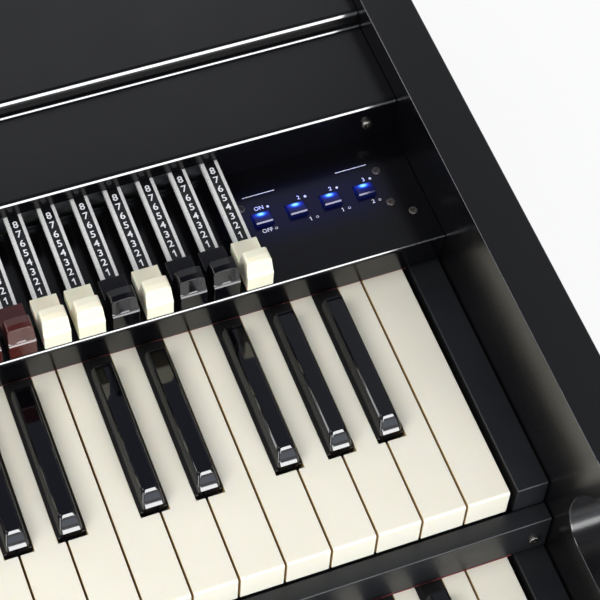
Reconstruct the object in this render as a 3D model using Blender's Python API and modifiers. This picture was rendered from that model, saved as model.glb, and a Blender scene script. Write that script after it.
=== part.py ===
"""Dual-manual organ: case, two manuals of 61 waterfall keys, drawbars and control panel.

Metres, +Z up. The player sits on the -Y side, +X is the player's right.
The origin is the middle of the organ's footprint, at the bottom of its feet.
"""
import math

import bmesh
import bpy
from mathutils import Matrix, Vector

GAP = 0.0003               # clearance between pieces that touch

# Case
DEPTH = 0.560              # front of the cheek arms to the rear panel
ARM_REACH = 0.02165        # cheek arms in front of the lower key fronts
FOOT_HEIGHT = 0.012
FOOT_RADIUS = 0.017
BASE_THICKNESS = 0.018
CHEEK_THICKNESS = 0.026
CHEEK_RISE = 0.068         # cheek top above the upper white keys
CHEEK_EDGE = 0.0012        # width of the broken edge round a cheek
NOSE_REACH = 0.040         # cheek nose in front of the upper key fronts
NOSE_ROUND = 0.013
NOSE_SWEEP = 0.020         # radius of the ogee under the nose
COVE_REACH = 0.021         # deepest point of the cove in front of the upper key fronts
COVE_RADIUS = 0.015
ARM_RISE = 0.0415          # cheek arm above the lower white keys
ARM_ROUND = 0.020
FOOT_ROUND = 0.006
REAR_THICKNESS = 0.015
SHELF_THICKNESS = 0.010
SHELF_LIP = 0.003          # thickness of the shelf's front lip
SHELF_OVERLAP = 0.0005     # shelf front before the recess back wall
SHELF_ROUND = 0.002
LID_THICKNESS = 0.0078
LID_SETBACK = 0.0545       # lid front behind the shelf front
LID_ROUND = 0.0025
LID_LEAN = 0.0025          # foot of the lid's front stands this far forward
BED_THICKNESS = 0.012      # board that carries the upper manual
BED_CLEARANCE = 0.0025     # its underside above the lower white keys
BED_OVERHANG = 0.014       # board behind the drawbar stems

# Manuals
WHITE_COUNT = 36
WHITE_PITCH = 0.0235
KEY_GAP = 0.0010
KEY_SHOWN = 0.1392         # white key length in front of the felt
KEY_LIP = 0.019            # height of the square front
LIP_THICKNESS = 0.003
KEY_THICKNESS = 0.012
KEY_ROUND = 0.0016
PIVOT_REACH = 0.196        # key front to pivot line
PIVOT_DROP = 0.006         # pivot line below the key top
TAIL_LENGTH = 0.007        # key behind the pivot line
NOTCH_REACH = 0.0472       # key front to the notch for a sharp
NOTCH_WIDTH = 0.0146
SHARP_REACH = 0.0491       # key front to the foot of a sharp's nose
SHARP_WIDTH = 0.0114
SHARP_TOP_WIDTH = 0.0070
SHARP_RISE = 0.0123
SHARP_TAIL_RISE = 0.0095
SHARP_SLOPE = 0.0057       # run of the sloped nose
SHARP_SETBACK = 0.0092     # rear end of a sharp's cap in front of the felt
SHARP_BODY_WIDTH = 0.0096
ACTION_HEIGHT = 0.034      # white key top to the board under the chassis
CHASSIS_SHEET = 0.0015
PIVOT_SLOT = 0.0028        # width of the slot that rides on the chassis flange
FELT_THICKNESS = 0.0010
FELT_DEPTH = 0.0065
SLIP_FRONT = 0.0109        # key slip front face before the key fronts
SLIP_CLEARANCE = 0.0009    # key fronts to the slip's back
HEADROOM = 0.0016          # key slip and fascia above the white keys
FRONT_SLIP_THICKNESS = 0.010
BLOCK_WIDTH = 0.0174       # key block beside a manual
BLOCK_GAP = 0.0030         # key block to the outermost key
BLOCK_FRONT = 0.0006
MOVING_UPPER = 8           # top white keys of the upper manual that are separate pieces
MOVING_LOWER = 2

# Control panel, one folded sheet
SHEET = 0.0015
PANEL_RISE = 0.024         # panel above the upper white keys
PANEL_DEPTH = 0.0730       # front of the panel to the recess back wall
PANEL_ROUND = 0.0020
FASCIA_LEAN = 0.0024       # foot of the fascia behind the front of the panel
FASCIA_RETURN = 0.0075     # flange folded in under the fascia
WINDOW_CLEARANCE = 0.0010  # drawbar windows above the stems
WINDOW_MARGIN = 0.0026     # and beside the outermost stem of a set

# Drawbars
DRAWBAR_PITCH = 0.0174
DRAWBARS_PER_SET = 9
DRAWBAR_INSET = 0.08265    # outermost drawbar's middle inside the manual's right end
SET_GAP = 0.0120           # extra space between neighbouring sets
STEM_WIDTH = 0.0092
STEM_THICKNESS = 0.0032
STEM_RISE = 0.0147         # stem top above the panel
STEM_HEADROOM = 0.0013     # shelf's underside above the stems
STEM_OVERHANG = 0.0135     # stem pulled right out, behind the drawbar frame
STEM_STEP = 0.00605        # travel from one number to the next
STEM_STEPS = 8
KNOB_DEPTH = 0.0252
KNOB_CLEARANCE = 0.0032    # knob pushed right in, to the recess back wall
KNOB_WIDTH = 0.0136
KNOB_TOP_WIDTH = 0.0120
KNOB_RISE = 0.0281         # knob top above the panel
KNOB_FOOT = 0.0080         # knob underside above the panel
FRAME_SETBACK = 0.0052     # drawbar frame behind the recess back wall
FRAME_DEPTH = 0.046

# Buttons and knobs
BUTTON_PITCH = 0.0188
BUTTON_COUNT = 4
BUTTON_RIGHT = 0.0086      # rightmost button's middle inside the manual's right end
BUTTON_SETBACK = 0.0364    # button fronts behind the front of the panel
BUTTON_WIDTH = 0.0098
BUTTON_DEPTH = 0.0080
BUTTON_PROUD = 0.0034      # front edge above the panel
BUTTON_REAR_PROUD = 0.0012
BUTTON_CLEARANCE = 0.0004
BUTTON_TRAVEL = 0.0012
BOARD_DROP = 0.0075        # button board below the panel
BOARD_THICKNESS = 0.0016
BOARD_MARGIN = 0.0105      # board beside the outermost buttons' middles
SWITCH_RISE = 0.0020       # tactile switch above the board
POST_RADIUS = 0.0022       # posts that hang the board under the panel
POST_INSET = 0.004
VOLUME_RADIUS = 0.0095
VOLUME_HEIGHT = 0.0150
VOLUME_INSET = 0.036       # knob's middle inside the manual's left end
VOLUME_SETBACK = 0.0382    # knob's middle behind the front of the panel
SHAFT_RADIUS = 0.003

# Electronics on the baseboard
ELECTRONICS_SETBACK = 0.100  # middle of the board and power supply before the rear panel
MAIN_BOARD_X = -0.045
MAIN_BOARD_WIDTH = 0.210
MAIN_BOARD_DEPTH = 0.120
STANDOFF_RADIUS = 0.003
STANDOFF_HEIGHT = 0.008
SUPPLY_X = -0.275
SUPPLY_WIDTH = 0.110
SUPPLY_DEPTH = 0.100
SUPPLY_HEIGHT = 0.033
SUPPLY_SLOT_PITCH = 0.012

# Rear
PLATE_WIDTH = 0.240
PLATE_HEIGHT = 0.050
PLATE_SHEET = 0.002
PLATE_OFFSET = 0.230       # middle of the connector plate from the organ's middle
PLATE_LIFT = 0.045         # middle of the plate above the baseboard
PLATE_REBATE = 0.0055      # plate's seat below the rear panel's face
CUTOUT_MARGIN = 0.006
JACK_RADIUS = 0.0034
JACK_BARREL = 0.0062
JACK_NUT = 0.0012          # nut proud of the plate
JACK_DEPTH = 0.014
JACK_PITCH = 0.024
INLET_WIDTH = 0.027
INLET_HEIGHT = 0.020
INLET_DEPTH = 0.016
INLET_WALL = 0.002
SWITCH_WIDTH = 0.0130
SWITCH_HEIGHT = 0.0200
SWITCH_ROOM = 0.0110       # depth of the switch housing
SWITCH_CLEARANCE = 0.0004

# Levels and places worked out from the sizes above
BASE_TOP = FOOT_HEIGHT + BASE_THICKNESS
LOWER_TOP = BASE_TOP + ACTION_HEIGHT
UPPER_TOP = LOWER_TOP + BED_CLEARANCE + BED_THICKNESS + ACTION_HEIGHT
BED_TOP = UPPER_TOP - ACTION_HEIGHT
CHEEK_TOP = UPPER_TOP + CHEEK_RISE
PANEL_TOP = UPPER_TOP + PANEL_RISE
STEM_TOP = PANEL_TOP + STEM_RISE
SHELF_FOOT = STEM_TOP + STEM_HEADROOM
SHELF_TOP = SHELF_FOOT + SHELF_THICKNESS
CASE_FRONT = -DEPTH / 2
CASE_REAR = DEPTH / 2
REAR_FACE = CASE_REAR - REAR_THICKNESS
LOWER_FRONT = CASE_FRONT + ARM_REACH
KEY_FRONT = LOWER_FRONT + KEY_SHOWN + SLIP_FRONT + GAP
MANUAL_HALF = WHITE_COUNT * WHITE_PITCH / 2
CASE_HALF = MANUAL_HALF + BLOCK_GAP + BLOCK_WIDTH
INSIDE_HALF = CASE_HALF - GAP
PANEL_FRONT = KEY_FRONT + KEY_SHOWN - FASCIA_LEAN
WALL_FRONT = PANEL_FRONT + PANEL_DEPTH
SHELF_FRONT = WALL_FRONT - SHELF_OVERLAP
DRAWBAR_TRAVEL = STEM_STEP * STEM_STEPS
FRAME_FRONT = WALL_FRONT + SHEET + FRAME_SETBACK
FRAME_REAR = FRAME_FRONT + FRAME_DEPTH
KNOB_REAR = WALL_FRONT - DRAWBAR_TRAVEL - KNOB_CLEARANCE
KNOB_FRONT = KNOB_REAR - KNOB_DEPTH
STEM_TAIL = FRAME_REAR + STEM_OVERHANG
OUTER_SET = MANUAL_HALF - DRAWBAR_INSET

OCTAVE = "CDEFGAB"
SHARP_OFFSETS = {"C": -0.0024, "D": 0.0022, "F": -0.0036, "G": 0.0003, "A": 0.0033}
FOOTAGE_COLOURS = ("brown", "brown", "cream", "cream", "black", "cream", "black", "black", "cream")


def clear_scene():
    for obj in list(bpy.data.objects):
        bpy.data.objects.remove(obj, do_unlink=True)
    for name in ("organ", "cutters"):
        collection = bpy.data.collections.new(name)
        bpy.context.scene.collection.children.link(collection)
    return bpy.data.collections["organ"], bpy.data.collections["cutters"]


ORGAN, CUTTERS = clear_scene()


def material(name, colour, roughness, metallic=0.0):
    made = bpy.data.materials.new(name)
    made.use_nodes = True
    shader = made.node_tree.nodes["Principled BSDF"]
    shader.inputs["Base Color"].default_value = (*colour, 1.0)
    shader.inputs["Roughness"].default_value = roughness
    shader.inputs["Metallic"].default_value = metallic
    made.diffuse_color = (*colour, 1.0)
    return made


SATIN_BLACK = material("satin_black_lacquer", (0.025, 0.025, 0.028), 0.30)
PANEL_BLACK = material("black_powder_coat", (0.012, 0.012, 0.014), 0.25)
IVORY = material("ivory_plastic", (0.82, 0.80, 0.70), 0.30)
EBONY = material("black_key_plastic", (0.012, 0.012, 0.014), 0.12)
CREAM = material("cream_plastic", (0.86, 0.83, 0.66), 0.35)
BROWN = material("brown_plastic", (0.13, 0.035, 0.025), 0.25)
BLUE_CAP = material("blue_button_plastic", (0.02, 0.03, 0.25), 0.30)
RED_FELT = material("red_felt", (0.35, 0.01, 0.02), 0.95)
ZINC_STEEL = material("zinc_plated_steel", (0.55, 0.56, 0.58), 0.35, 1.0)
GREEN_BOARD = material("circuit_board", (0.02, 0.16, 0.06), 0.45)
DARK_BOARD = material("black_circuit_board", (0.02, 0.02, 0.02), 0.50)
RUBBER = material("black_rubber", (0.02, 0.02, 0.02), 0.90)
KNOB_BLACK = material("black_knob_plastic", (0.02, 0.02, 0.02), 0.35)
KNOB_COLOURS = {"brown": BROWN, "cream": CREAM, "black": KNOB_BLACK}


def mesh_of(obj):
    """The evaluated mesh of an object, which is removed."""
    bpy.context.view_layer.update()
    evaluated = obj.evaluated_get(bpy.context.evaluated_depsgraph_get())
    mesh = bpy.data.meshes.new_from_object(evaluated)
    bpy.data.objects.remove(obj, do_unlink=True)
    return mesh


def tidy(mesh):
    """Weld a closed mesh and turn its faces outwards."""
    work = bmesh.new()
    work.from_mesh(mesh)
    bmesh.ops.remove_doubles(work, verts=work.verts, dist=0.00001)
    bmesh.ops.recalc_face_normals(work, faces=work.faces)
    work.to_mesh(mesh)
    work.free()
    return mesh


def box_mesh(low, high):
    """A box between two corners, made from a unit cube."""
    low, high = Vector(low), Vector(high)
    work = bmesh.new()
    bmesh.ops.create_cube(work, size=1.0)
    bmesh.ops.scale(work, vec=high - low, verts=work.verts)
    bmesh.ops.translate(work, vec=(low + high) / 2, verts=work.verts)
    mesh = bpy.data.meshes.new("box")
    work.to_mesh(mesh)
    work.free()
    return mesh


def cylinder_mesh(radius, low, high, sides=24, taper=1.0):
    """A cylinder or cone along Z between two heights."""
    work = bmesh.new()
    bmesh.ops.create_cone(work, cap_ends=True, segments=sides, radius1=radius,
                          radius2=radius * taper, depth=high - low)
    bmesh.ops.translate(work, vec=(0, 0, (low + high) / 2), verts=work.verts)
    mesh = bpy.data.meshes.new("cylinder")
    work.to_mesh(mesh)
    work.free()
    return mesh


def outline_mesh(points, thickness):
    """A flat outline in XY, filled and given its thickness along Z, as one welded solid."""
    curve = bpy.data.curves.new("outline", "CURVE")
    curve.dimensions = "2D"
    curve.fill_mode = "BOTH"
    curve.extrude = thickness / 2
    spline = curve.splines.new("POLY")
    spline.points.add(len(points) - 1)
    for point, (u, v) in zip(spline.points, points):
        point.co = (u, v, 0, 1)
    spline.use_cyclic_u = True
    guide = bpy.data.objects.new("outline", curve)
    CUTTERS.objects.link(guide)
    return tidy(mesh_of(guide))


def profile_mesh(points, width):
    """A side view outline of (y, z) points, extruded evenly to both sides along X."""
    mesh = outline_mesh(points, width)
    mesh.transform(Matrix(((0, 0, 1, 0), (1, 0, 0, 0), (0, 1, 0, 0), (0, 0, 0, 1))))
    return mesh


def sheet_mesh(points, width, thickness):
    """A folded sheet: an open line of (y, z) points drawn along X, with its wall on one side."""
    work = bmesh.new()
    line = [work.verts.new((-width / 2, y, z)) for y, z in points]
    edges = [work.edges.new(pair) for pair in zip(line, line[1:])]
    drawn = bmesh.ops.extrude_edge_only(work, edges=edges)["geom"]
    moved = [item for item in drawn if isinstance(item, bmesh.types.BMVert)]
    bmesh.ops.translate(work, vec=(width, 0, 0), verts=moved)
    mesh = bpy.data.meshes.new("sheet")
    work.to_mesh(mesh)
    work.free()
    guide = bpy.data.objects.new("sheet", mesh)
    CUTTERS.objects.link(guide)
    wall = guide.modifiers.new("Wall", "SOLIDIFY")
    wall.thickness = thickness
    wall.offset = 1.0
    wall.use_even_offset = True
    return tidy(mesh_of(guide))


def joined(*placed):
    """One mesh from (mesh, offset) pairs, whose shells stay as they are."""
    work = bmesh.new()
    for mesh, offset in placed:
        before = len(work.verts)
        work.from_mesh(mesh)
        work.verts.ensure_lookup_table()
        bmesh.ops.translate(work, vec=offset, verts=work.verts[before:])
    mesh = bpy.data.meshes.new("joined")
    work.to_mesh(mesh)
    work.free()
    return mesh


def boolean(mesh, other, operation):
    """The two meshes united or cut, as a new mesh."""
    guide = bpy.data.objects.new("target", mesh)
    tool = bpy.data.objects.new("tool", other)
    CUTTERS.objects.link(guide)
    CUTTERS.objects.link(tool)
    step = guide.modifiers.new("Step", "BOOLEAN")
    step.operation = operation
    step.object = tool
    step.solver = "EXACT"
    made = mesh_of(guide)
    bpy.data.objects.remove(tool, do_unlink=True)
    return made


def united(mesh, *others):
    for other in others:
        mesh = boolean(mesh, other, "UNION")
    return mesh


def cut(mesh, *others):
    for other in others:
        mesh = boolean(mesh, other, "DIFFERENCE")
    return mesh


def arc(centre, radius, start, end, steps):
    """Points on an arc, from one angle in degrees to another."""
    points = []
    for step in range(steps + 1):
        angle = math.radians(start + (end - start) * step / steps)
        points.append((centre[0] + radius * math.cos(angle), centre[1] + radius * math.sin(angle)))
    return points


def add(name, mesh, finish, location=(0, 0, 0), smooth=False):
    """A named part of the organ at its place."""
    mesh.name = name
    mesh.materials.clear()
    mesh.materials.append(finish)
    if smooth:
        mesh.shade_smooth()
        mesh.set_sharp_from_angle(angle=math.radians(35))
    part = bpy.data.objects.new(name, mesh)
    part.location = location
    ORGAN.objects.link(part)
    return part


def cheek_outline():
    """Side view of a cheek: high rear part, scrolled nose, arm beside the lower manual."""
    arm_top = LOWER_TOP + ARM_RISE
    nose = KEY_FRONT - NOSE_REACH
    cove = KEY_FRONT - COVE_REACH
    points = [(CASE_REAR, FOOT_HEIGHT), (CASE_REAR, CHEEK_TOP)]
    points += arc((nose + NOSE_ROUND, CHEEK_TOP - NOSE_ROUND), NOSE_ROUND, 90, 180, 4)
    points += ogee((nose, CHEEK_TOP - NOSE_ROUND), (cove, arm_top + COVE_RADIUS), NOSE_SWEEP, 4)[1:]
    points += arc((cove - COVE_RADIUS, arm_top + COVE_RADIUS), COVE_RADIUS, 0, -90, 6)[1:]
    points += arc((CASE_FRONT + ARM_ROUND, arm_top - ARM_ROUND - GAP), ARM_ROUND, 90, 180, 6)
    points += arc((CASE_FRONT + FOOT_ROUND, FOOT_HEIGHT + FOOT_ROUND), FOOT_ROUND, 180, 270, 3)
    return points


def ogee(top, foot, first_radius, steps):
    """Two arcs that meet smoothly, upright at both ends, from a top point down to a foot."""
    run, drop = foot[0] - top[0], top[1] - foot[1]
    angle = 2 * math.atan2(run, drop)
    second_radius = drop / math.sin(angle) - first_radius
    turn = math.degrees(angle)
    points = arc((top[0] + first_radius, top[1]), first_radius, 180, 180 + turn, steps)
    return points + arc((foot[0] - second_radius, foot[1]), second_radius, turn, 0, steps)[1:]


def build_cheek(name, side):
    mesh = profile_mesh(cheek_outline(), CHEEK_THICKNESS)
    part = add(name, mesh, SATIN_BLACK, (side * (CASE_HALF + CHEEK_THICKNESS / 2), 0, 0))
    edge = part.modifiers.new("Broken edge", "BEVEL")
    edge.width = CHEEK_EDGE
    edge.segments = 1
    edge.limit_method = "ANGLE"
    edge.angle_limit = math.radians(60)


def build_case():
    build_cheek("left_cheek", -1)
    build_cheek("right_cheek", 1)
    base_front = LOWER_FRONT - SLIP_CLEARANCE + GAP
    base = box_mesh((-INSIDE_HALF, base_front, FOOT_HEIGHT), (INSIDE_HALF, REAR_FACE - GAP, BASE_TOP))
    add("baseboard", base, SATIN_BLACK)
    rear = box_mesh((-INSIDE_HALF, REAR_FACE, FOOT_HEIGHT), (INSIDE_HALF, CASE_REAR, SHELF_FOOT - GAP))
    opening = plate_cutter(-CUTOUT_MARGIN, REAR_THICKNESS + 0.01)
    add("rear_panel", cut(rear, plate_cutter(GAP, PLATE_REBATE), opening), SATIN_BLACK)
    bed = box_mesh((-INSIDE_HALF, KEY_FRONT - SLIP_CLEARANCE + GAP, BED_TOP - BED_THICKNESS),
                   (INSIDE_HALF, STEM_TAIL + BED_OVERHANG, BED_TOP))
    add("bed_board", bed, SATIN_BLACK)
    build_shelf()
    build_lid()


def plate_cutter(margin, depth):
    """Cutter in the rear panel for the connector plate, larger all round by a margin."""
    x, z = PLATE_OFFSET, BASE_TOP + PLATE_LIFT
    half_width = PLATE_WIDTH / 2 + margin
    half_height = PLATE_HEIGHT / 2 + margin
    return box_mesh((x - half_width, CASE_REAR - depth, z - half_height),
                    (x + half_width, CASE_REAR + 0.01, z + half_height))


def build_shelf():
    """Board over the drawbar frame, rebated under its front lip for the panel's back wall."""
    lip_foot = SHELF_TOP - SHELF_LIP
    body_front = WALL_FRONT + SHEET + GAP
    points = [(SHELF_FRONT, lip_foot)]
    points += arc((SHELF_FRONT + SHELF_ROUND, SHELF_TOP - SHELF_ROUND), SHELF_ROUND, 180, 90, 3)
    points += [(CASE_REAR, SHELF_TOP), (CASE_REAR, SHELF_FOOT), (body_front, SHELF_FOOT),
               (body_front, lip_foot)]
    add("shelf", profile_mesh(points, 2 * INSIDE_HALF), SATIN_BLACK)


def build_lid():
    front = SHELF_FRONT + LID_SETBACK
    foot = SHELF_TOP + GAP
    top = foot + LID_THICKNESS
    rear = CASE_REAR - 0.002
    points = [(front - LID_LEAN, foot)]
    points += arc((front + LID_ROUND, top - LID_ROUND), LID_ROUND, 170, 90, 3)
    points += [(rear, top), (rear, foot)]
    add("lid", profile_mesh(points, 2 * INSIDE_HALF), SATIN_BLACK)


def build_feet():
    x = INSIDE_HALF - 0.060
    y = DEPTH / 2 - 0.070
    spots = {"front_left": (-x, -y), "front_right": (x, -y), "rear_left": (-x, y), "rear_right": (x, y)}
    for place, (foot_x, foot_y) in spots.items():
        mesh = cylinder_mesh(FOOT_RADIUS * 0.85, 0, FOOT_HEIGHT - GAP, 20, 1 / 0.85)
        add("foot_" + place, mesh, RUBBER, (foot_x, foot_y, 0), smooth=True)


def white_profile():
    """Side view of a white key from its pivot line, with the slot that rides on the flange."""
    front, top = -PIVOT_REACH, PIVOT_DROP
    under = top - KEY_THICKNESS
    slot = PIVOT_SLOT / 2
    points = [(front, top - KEY_LIP)]
    points += arc((front + KEY_ROUND, top - KEY_ROUND), KEY_ROUND, 180, 90, 2)
    points += [(TAIL_LENGTH, top), (TAIL_LENGTH, under)]
    points += [(slot, under), (slot, GAP), (-slot, GAP), (-slot, under)]
    points += [(front + LIP_THICKNESS * 1.6, under), (front + LIP_THICKNESS, top - KEY_LIP)]
    return points


def notch_mesh(centre):
    """Cutter for the notch that a sharp stands in, open to the rear."""
    half = NOTCH_WIDTH / 2
    return box_mesh((centre - half, -PIVOT_REACH + NOTCH_REACH, -0.05), (centre + half, 0.05, 0.05))


def white_key_mesh(left_sharp, right_sharp):
    """A white key about its middle and pivot line, notched for the sharps beside it."""
    mesh = profile_mesh(white_profile(), WHITE_PITCH - KEY_GAP)
    half = WHITE_PITCH / 2
    if left_sharp is not None:
        mesh = cut(mesh, notch_mesh(-half + left_sharp))
    if right_sharp is not None:
        mesh = cut(mesh, notch_mesh(half + right_sharp))
    return mesh


def sharp_cap_mesh():
    """The bevelled cap of a sharp: a cube drawn in towards its top, sloped at the nose."""
    foot_front = -PIVOT_REACH + SHARP_REACH
    foot_rear = -PIVOT_REACH + KEY_SHOWN - SHARP_SETBACK
    foot = PIVOT_DROP - 0.0015
    mesh = box_mesh((-SHARP_WIDTH / 2, foot_front, foot), (SHARP_WIDTH / 2, foot_rear, foot + 0.01))
    for vertex in mesh.vertices:
        if vertex.co.z > foot + 0.005:
            vertex.co.x = math.copysign(SHARP_TOP_WIDTH / 2, vertex.co.x)
            at_front = vertex.co.y < (foot_front + foot_rear) / 2
            vertex.co.y += SHARP_SLOPE if at_front else -0.001
            vertex.co.z = PIVOT_DROP + (SHARP_RISE if at_front else SHARP_TAIL_RISE)
    return mesh


def sharp_key_mesh():
    """A sharp about its middle and pivot line: narrow body, slot at the tail, cap on top."""
    front = -PIVOT_REACH + SHARP_REACH + 0.0012
    top, slot = PIVOT_DROP - 0.0005, PIVOT_SLOT / 2
    under = PIVOT_DROP - KEY_THICKNESS
    points = [(front, under), (front, top), (TAIL_LENGTH, top), (TAIL_LENGTH, under),
              (slot, under), (slot, GAP), (-slot, GAP), (-slot, under)]
    return united(profile_mesh(points, SHARP_BODY_WIDTH), sharp_cap_mesh())


def white_edge(index):
    """X of the left edge of a white key, counted from the bottom C."""
    return -MANUAL_HALF + index * WHITE_PITCH


def sharp_beside(index, side):
    """Offset of the sharp at a white key's left (0) or right (1) edge from that edge, or None."""
    left_white = index - 1 + side
    if left_white < 0 or left_white >= WHITE_COUNT - 1:
        return None
    return SHARP_OFFSETS.get(OCTAVE[left_white % 7])


def key_name(index, sharp=False):
    note = OCTAVE[index % 7].lower() + ("_sharp" if sharp else "")
    return f"{note}{index // 7 + 1}"


def key_meshes(first, last):
    """(name, mesh, x, finish) of the keys whose white keys run from first up to last."""
    whites = {}
    sharp_shape = sharp_key_mesh()
    found = []
    for index in range(first, last):
        sides = (sharp_beside(index, 0), sharp_beside(index, 1))
        if sides not in whites:
            whites[sides] = white_key_mesh(*sides)
        found.append((key_name(index), whites[sides], white_edge(index) + WHITE_PITCH / 2, IVORY))
        if sides[0] is not None:
            found.append((key_name(index - 1, True), sharp_shape, white_edge(index) + sides[0], EBONY))
    return found


def build_manual(manual, front, top, moving):
    """Chassis, fixed bank of the lower octaves and the separate top keys of one manual."""
    pivot = Vector((0, front + PIVOT_REACH, top - PIVOT_DROP))
    first_moving = WHITE_COUNT - moving
    bank = [(mesh, (x, 0, 0)) for name, mesh, x, finish in key_meshes(0, first_moving)]
    strip_end = white_edge(first_moving) - WHITE_PITCH * 0.35
    strip = box_mesh((-MANUAL_HALF + KEY_GAP, TAIL_LENGTH - 0.004, -0.0045),
                     (strip_end, TAIL_LENGTH + 0.003, 0.004))
    add(f"{manual}_key_bank", united(joined(*bank), strip), IVORY, pivot)
    for name, mesh, x, finish in key_meshes(first_moving, WHITE_COUNT):
        add(f"{manual}_key_{name}", mesh.copy(), finish, pivot + Vector((x, 0, 0)))
    build_chassis(manual, front, top)


def build_chassis(manual, front, top):
    """Folded steel under the keys: front stop flange, floor, and the flange the keys pivot on."""
    floor = top - ACTION_HEIGHT + GAP
    stop, stop_top = front + 0.009, top - KEY_LIP - 0.006
    flange = front + PIVOT_REACH
    half = CHASSIS_SHEET / 2
    points = [(stop, stop_top), (stop, floor), (flange + half, floor),
              (flange + half, top - PIVOT_DROP)]
    mesh = sheet_mesh(points, 2 * (MANUAL_HALF + BLOCK_GAP - 0.001), CHASSIS_SHEET)
    add(f"{manual}_key_chassis", mesh, ZINC_STEEL)


def build_blocks():
    """End blocks flush with the white keys. The upper pair also carry the control panel."""
    under_panel = PANEL_TOP - SHEET - GAP
    rest = PANEL_FRONT + FASCIA_LEAN + FASCIA_RETURN + 0.0015
    rear = WALL_FRONT
    front = KEY_FRONT - BLOCK_FRONT
    upper = [(front, BED_TOP + GAP), (front, UPPER_TOP), (rest, UPPER_TOP), (rest, under_panel),
             (rear, under_panel), (rear, BED_TOP + GAP)]
    front = LOWER_FRONT - BLOCK_FRONT
    step = KEY_FRONT - SLIP_CLEARANCE
    under_bed = BED_TOP - BED_THICKNESS - GAP
    rear = LOWER_FRONT + PIVOT_REACH + TAIL_LENGTH
    lower = [(front, BASE_TOP + GAP), (front, LOWER_TOP), (step, LOWER_TOP), (step, under_bed),
             (rear, under_bed), (rear, BASE_TOP + GAP)]
    x = CASE_HALF - (BLOCK_WIDTH + GAP) / 2
    for manual, points in (("upper", upper), ("lower", lower)):
        for hand, side in (("left", -1), ("right", 1)):
            mesh = profile_mesh(points, BLOCK_WIDTH - GAP)
            add(f"{manual}_key_block_{hand}", mesh, SATIN_BLACK, (side * x, 0, 0))


def build_slips_and_felts():
    slip_foot = LOWER_TOP + HEADROOM
    slip_top = UPPER_TOP - KEY_LIP - GAP
    slip = box_mesh((-INSIDE_HALF, KEY_FRONT - SLIP_FRONT, slip_foot),
                    (INSIDE_HALF, KEY_FRONT - SLIP_CLEARANCE, slip_top))
    add("upper_key_slip", slip, SATIN_BLACK)
    back = LOWER_FRONT - SLIP_CLEARANCE
    front_slip = box_mesh((-INSIDE_HALF, back - FRONT_SLIP_THICKNESS, FOOT_HEIGHT),
                          (INSIDE_HALF, back, LOWER_TOP - KEY_LIP - GAP))
    add("front_key_slip", front_slip, SATIN_BLACK)
    half = MANUAL_HALF + BLOCK_GAP / 2
    for manual, key_front, top in (("upper", KEY_FRONT, UPPER_TOP), ("lower", LOWER_FRONT, LOWER_TOP)):
        front, felt_top = key_front + KEY_SHOWN, top + HEADROOM - GAP
        felt = box_mesh((-half, front, felt_top - FELT_THICKNESS), (half, front + FELT_DEPTH, felt_top))
        add(f"{manual}_felt_strip", felt, RED_FELT)


def drawbar_places():
    """X of every drawbar from left to right, and its place in its set (None for the bass pair)."""
    inner = OUTER_SET - (2 * DRAWBARS_PER_SET - 1) * DRAWBAR_PITCH - SET_GAP
    right = []
    for start in (inner, OUTER_SET - (DRAWBARS_PER_SET - 1) * DRAWBAR_PITCH):
        right += [(start + step * DRAWBAR_PITCH, step) for step in range(DRAWBARS_PER_SET)]
    left = [(-x, DRAWBARS_PER_SET - 1 - step) for x, step in reversed(right)]
    bass = [(-DRAWBAR_PITCH / 2, None), (DRAWBAR_PITCH / 2, None)]
    return left + bass + right


def window_mesh(first, last):
    """Cutter for the wall window of the drawbars from first to last."""
    half = STEM_WIDTH / 2 + WINDOW_MARGIN
    return box_mesh((first - half, WALL_FRONT - 0.0005, PANEL_TOP + 0.0004),
                    (last + half, WALL_FRONT + 0.01, STEM_TOP + WINDOW_CLEARANCE))


def button_places():
    right = MANUAL_HALF - BUTTON_RIGHT
    return [right - (BUTTON_COUNT - 1 - number) * BUTTON_PITCH for number in range(BUTTON_COUNT)]


def build_control_panel():
    """Folded sheet: recess back wall, panel, rounded bend, leaning fascia and return flange."""
    foot = UPPER_TOP + HEADROOM
    fascia = PANEL_FRONT + FASCIA_LEAN
    points = [(WALL_FRONT, SHELF_TOP - SHELF_LIP - GAP)]
    points += arc((WALL_FRONT - 0.001, PANEL_TOP + 0.001), 0.001, 0, -90, 2)
    points += arc((PANEL_FRONT + PANEL_ROUND, PANEL_TOP - PANEL_ROUND), PANEL_ROUND, 90, 180, 4)
    points += [(fascia, foot), (fascia + FASCIA_RETURN, foot)]
    mesh = sheet_mesh(points, 2 * INSIDE_HALF, SHEET)
    places = [x for x, step in drawbar_places()]
    sets = [places[0:9], places[9:18], places[18:20], places[20:29], places[29:38]]
    windows = joined(*[(window_mesh(group[0], group[-1]), (0, 0, 0)) for group in sets])
    half = BUTTON_WIDTH / 2 + BUTTON_CLEARANCE
    low = PANEL_FRONT + BUTTON_SETBACK - BUTTON_CLEARANCE
    high = low + BUTTON_DEPTH + 2 * BUTTON_CLEARANCE
    hole = box_mesh((-half, low, PANEL_TOP - 0.01), (half, high, PANEL_TOP + 0.01))
    holes = [(hole, (x, 0, 0)) for x in button_places()]
    shaft = cylinder_mesh(SHAFT_RADIUS + BUTTON_CLEARANCE, -0.01, 0.01, 16)
    holes.append((shaft, volume_place()))
    add("control_panel", cut(mesh, windows, joined(*holes)), PANEL_BLACK)


def volume_place():
    return Vector((-MANUAL_HALF + VOLUME_INSET, PANEL_FRONT + VOLUME_SETBACK, PANEL_TOP))


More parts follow.
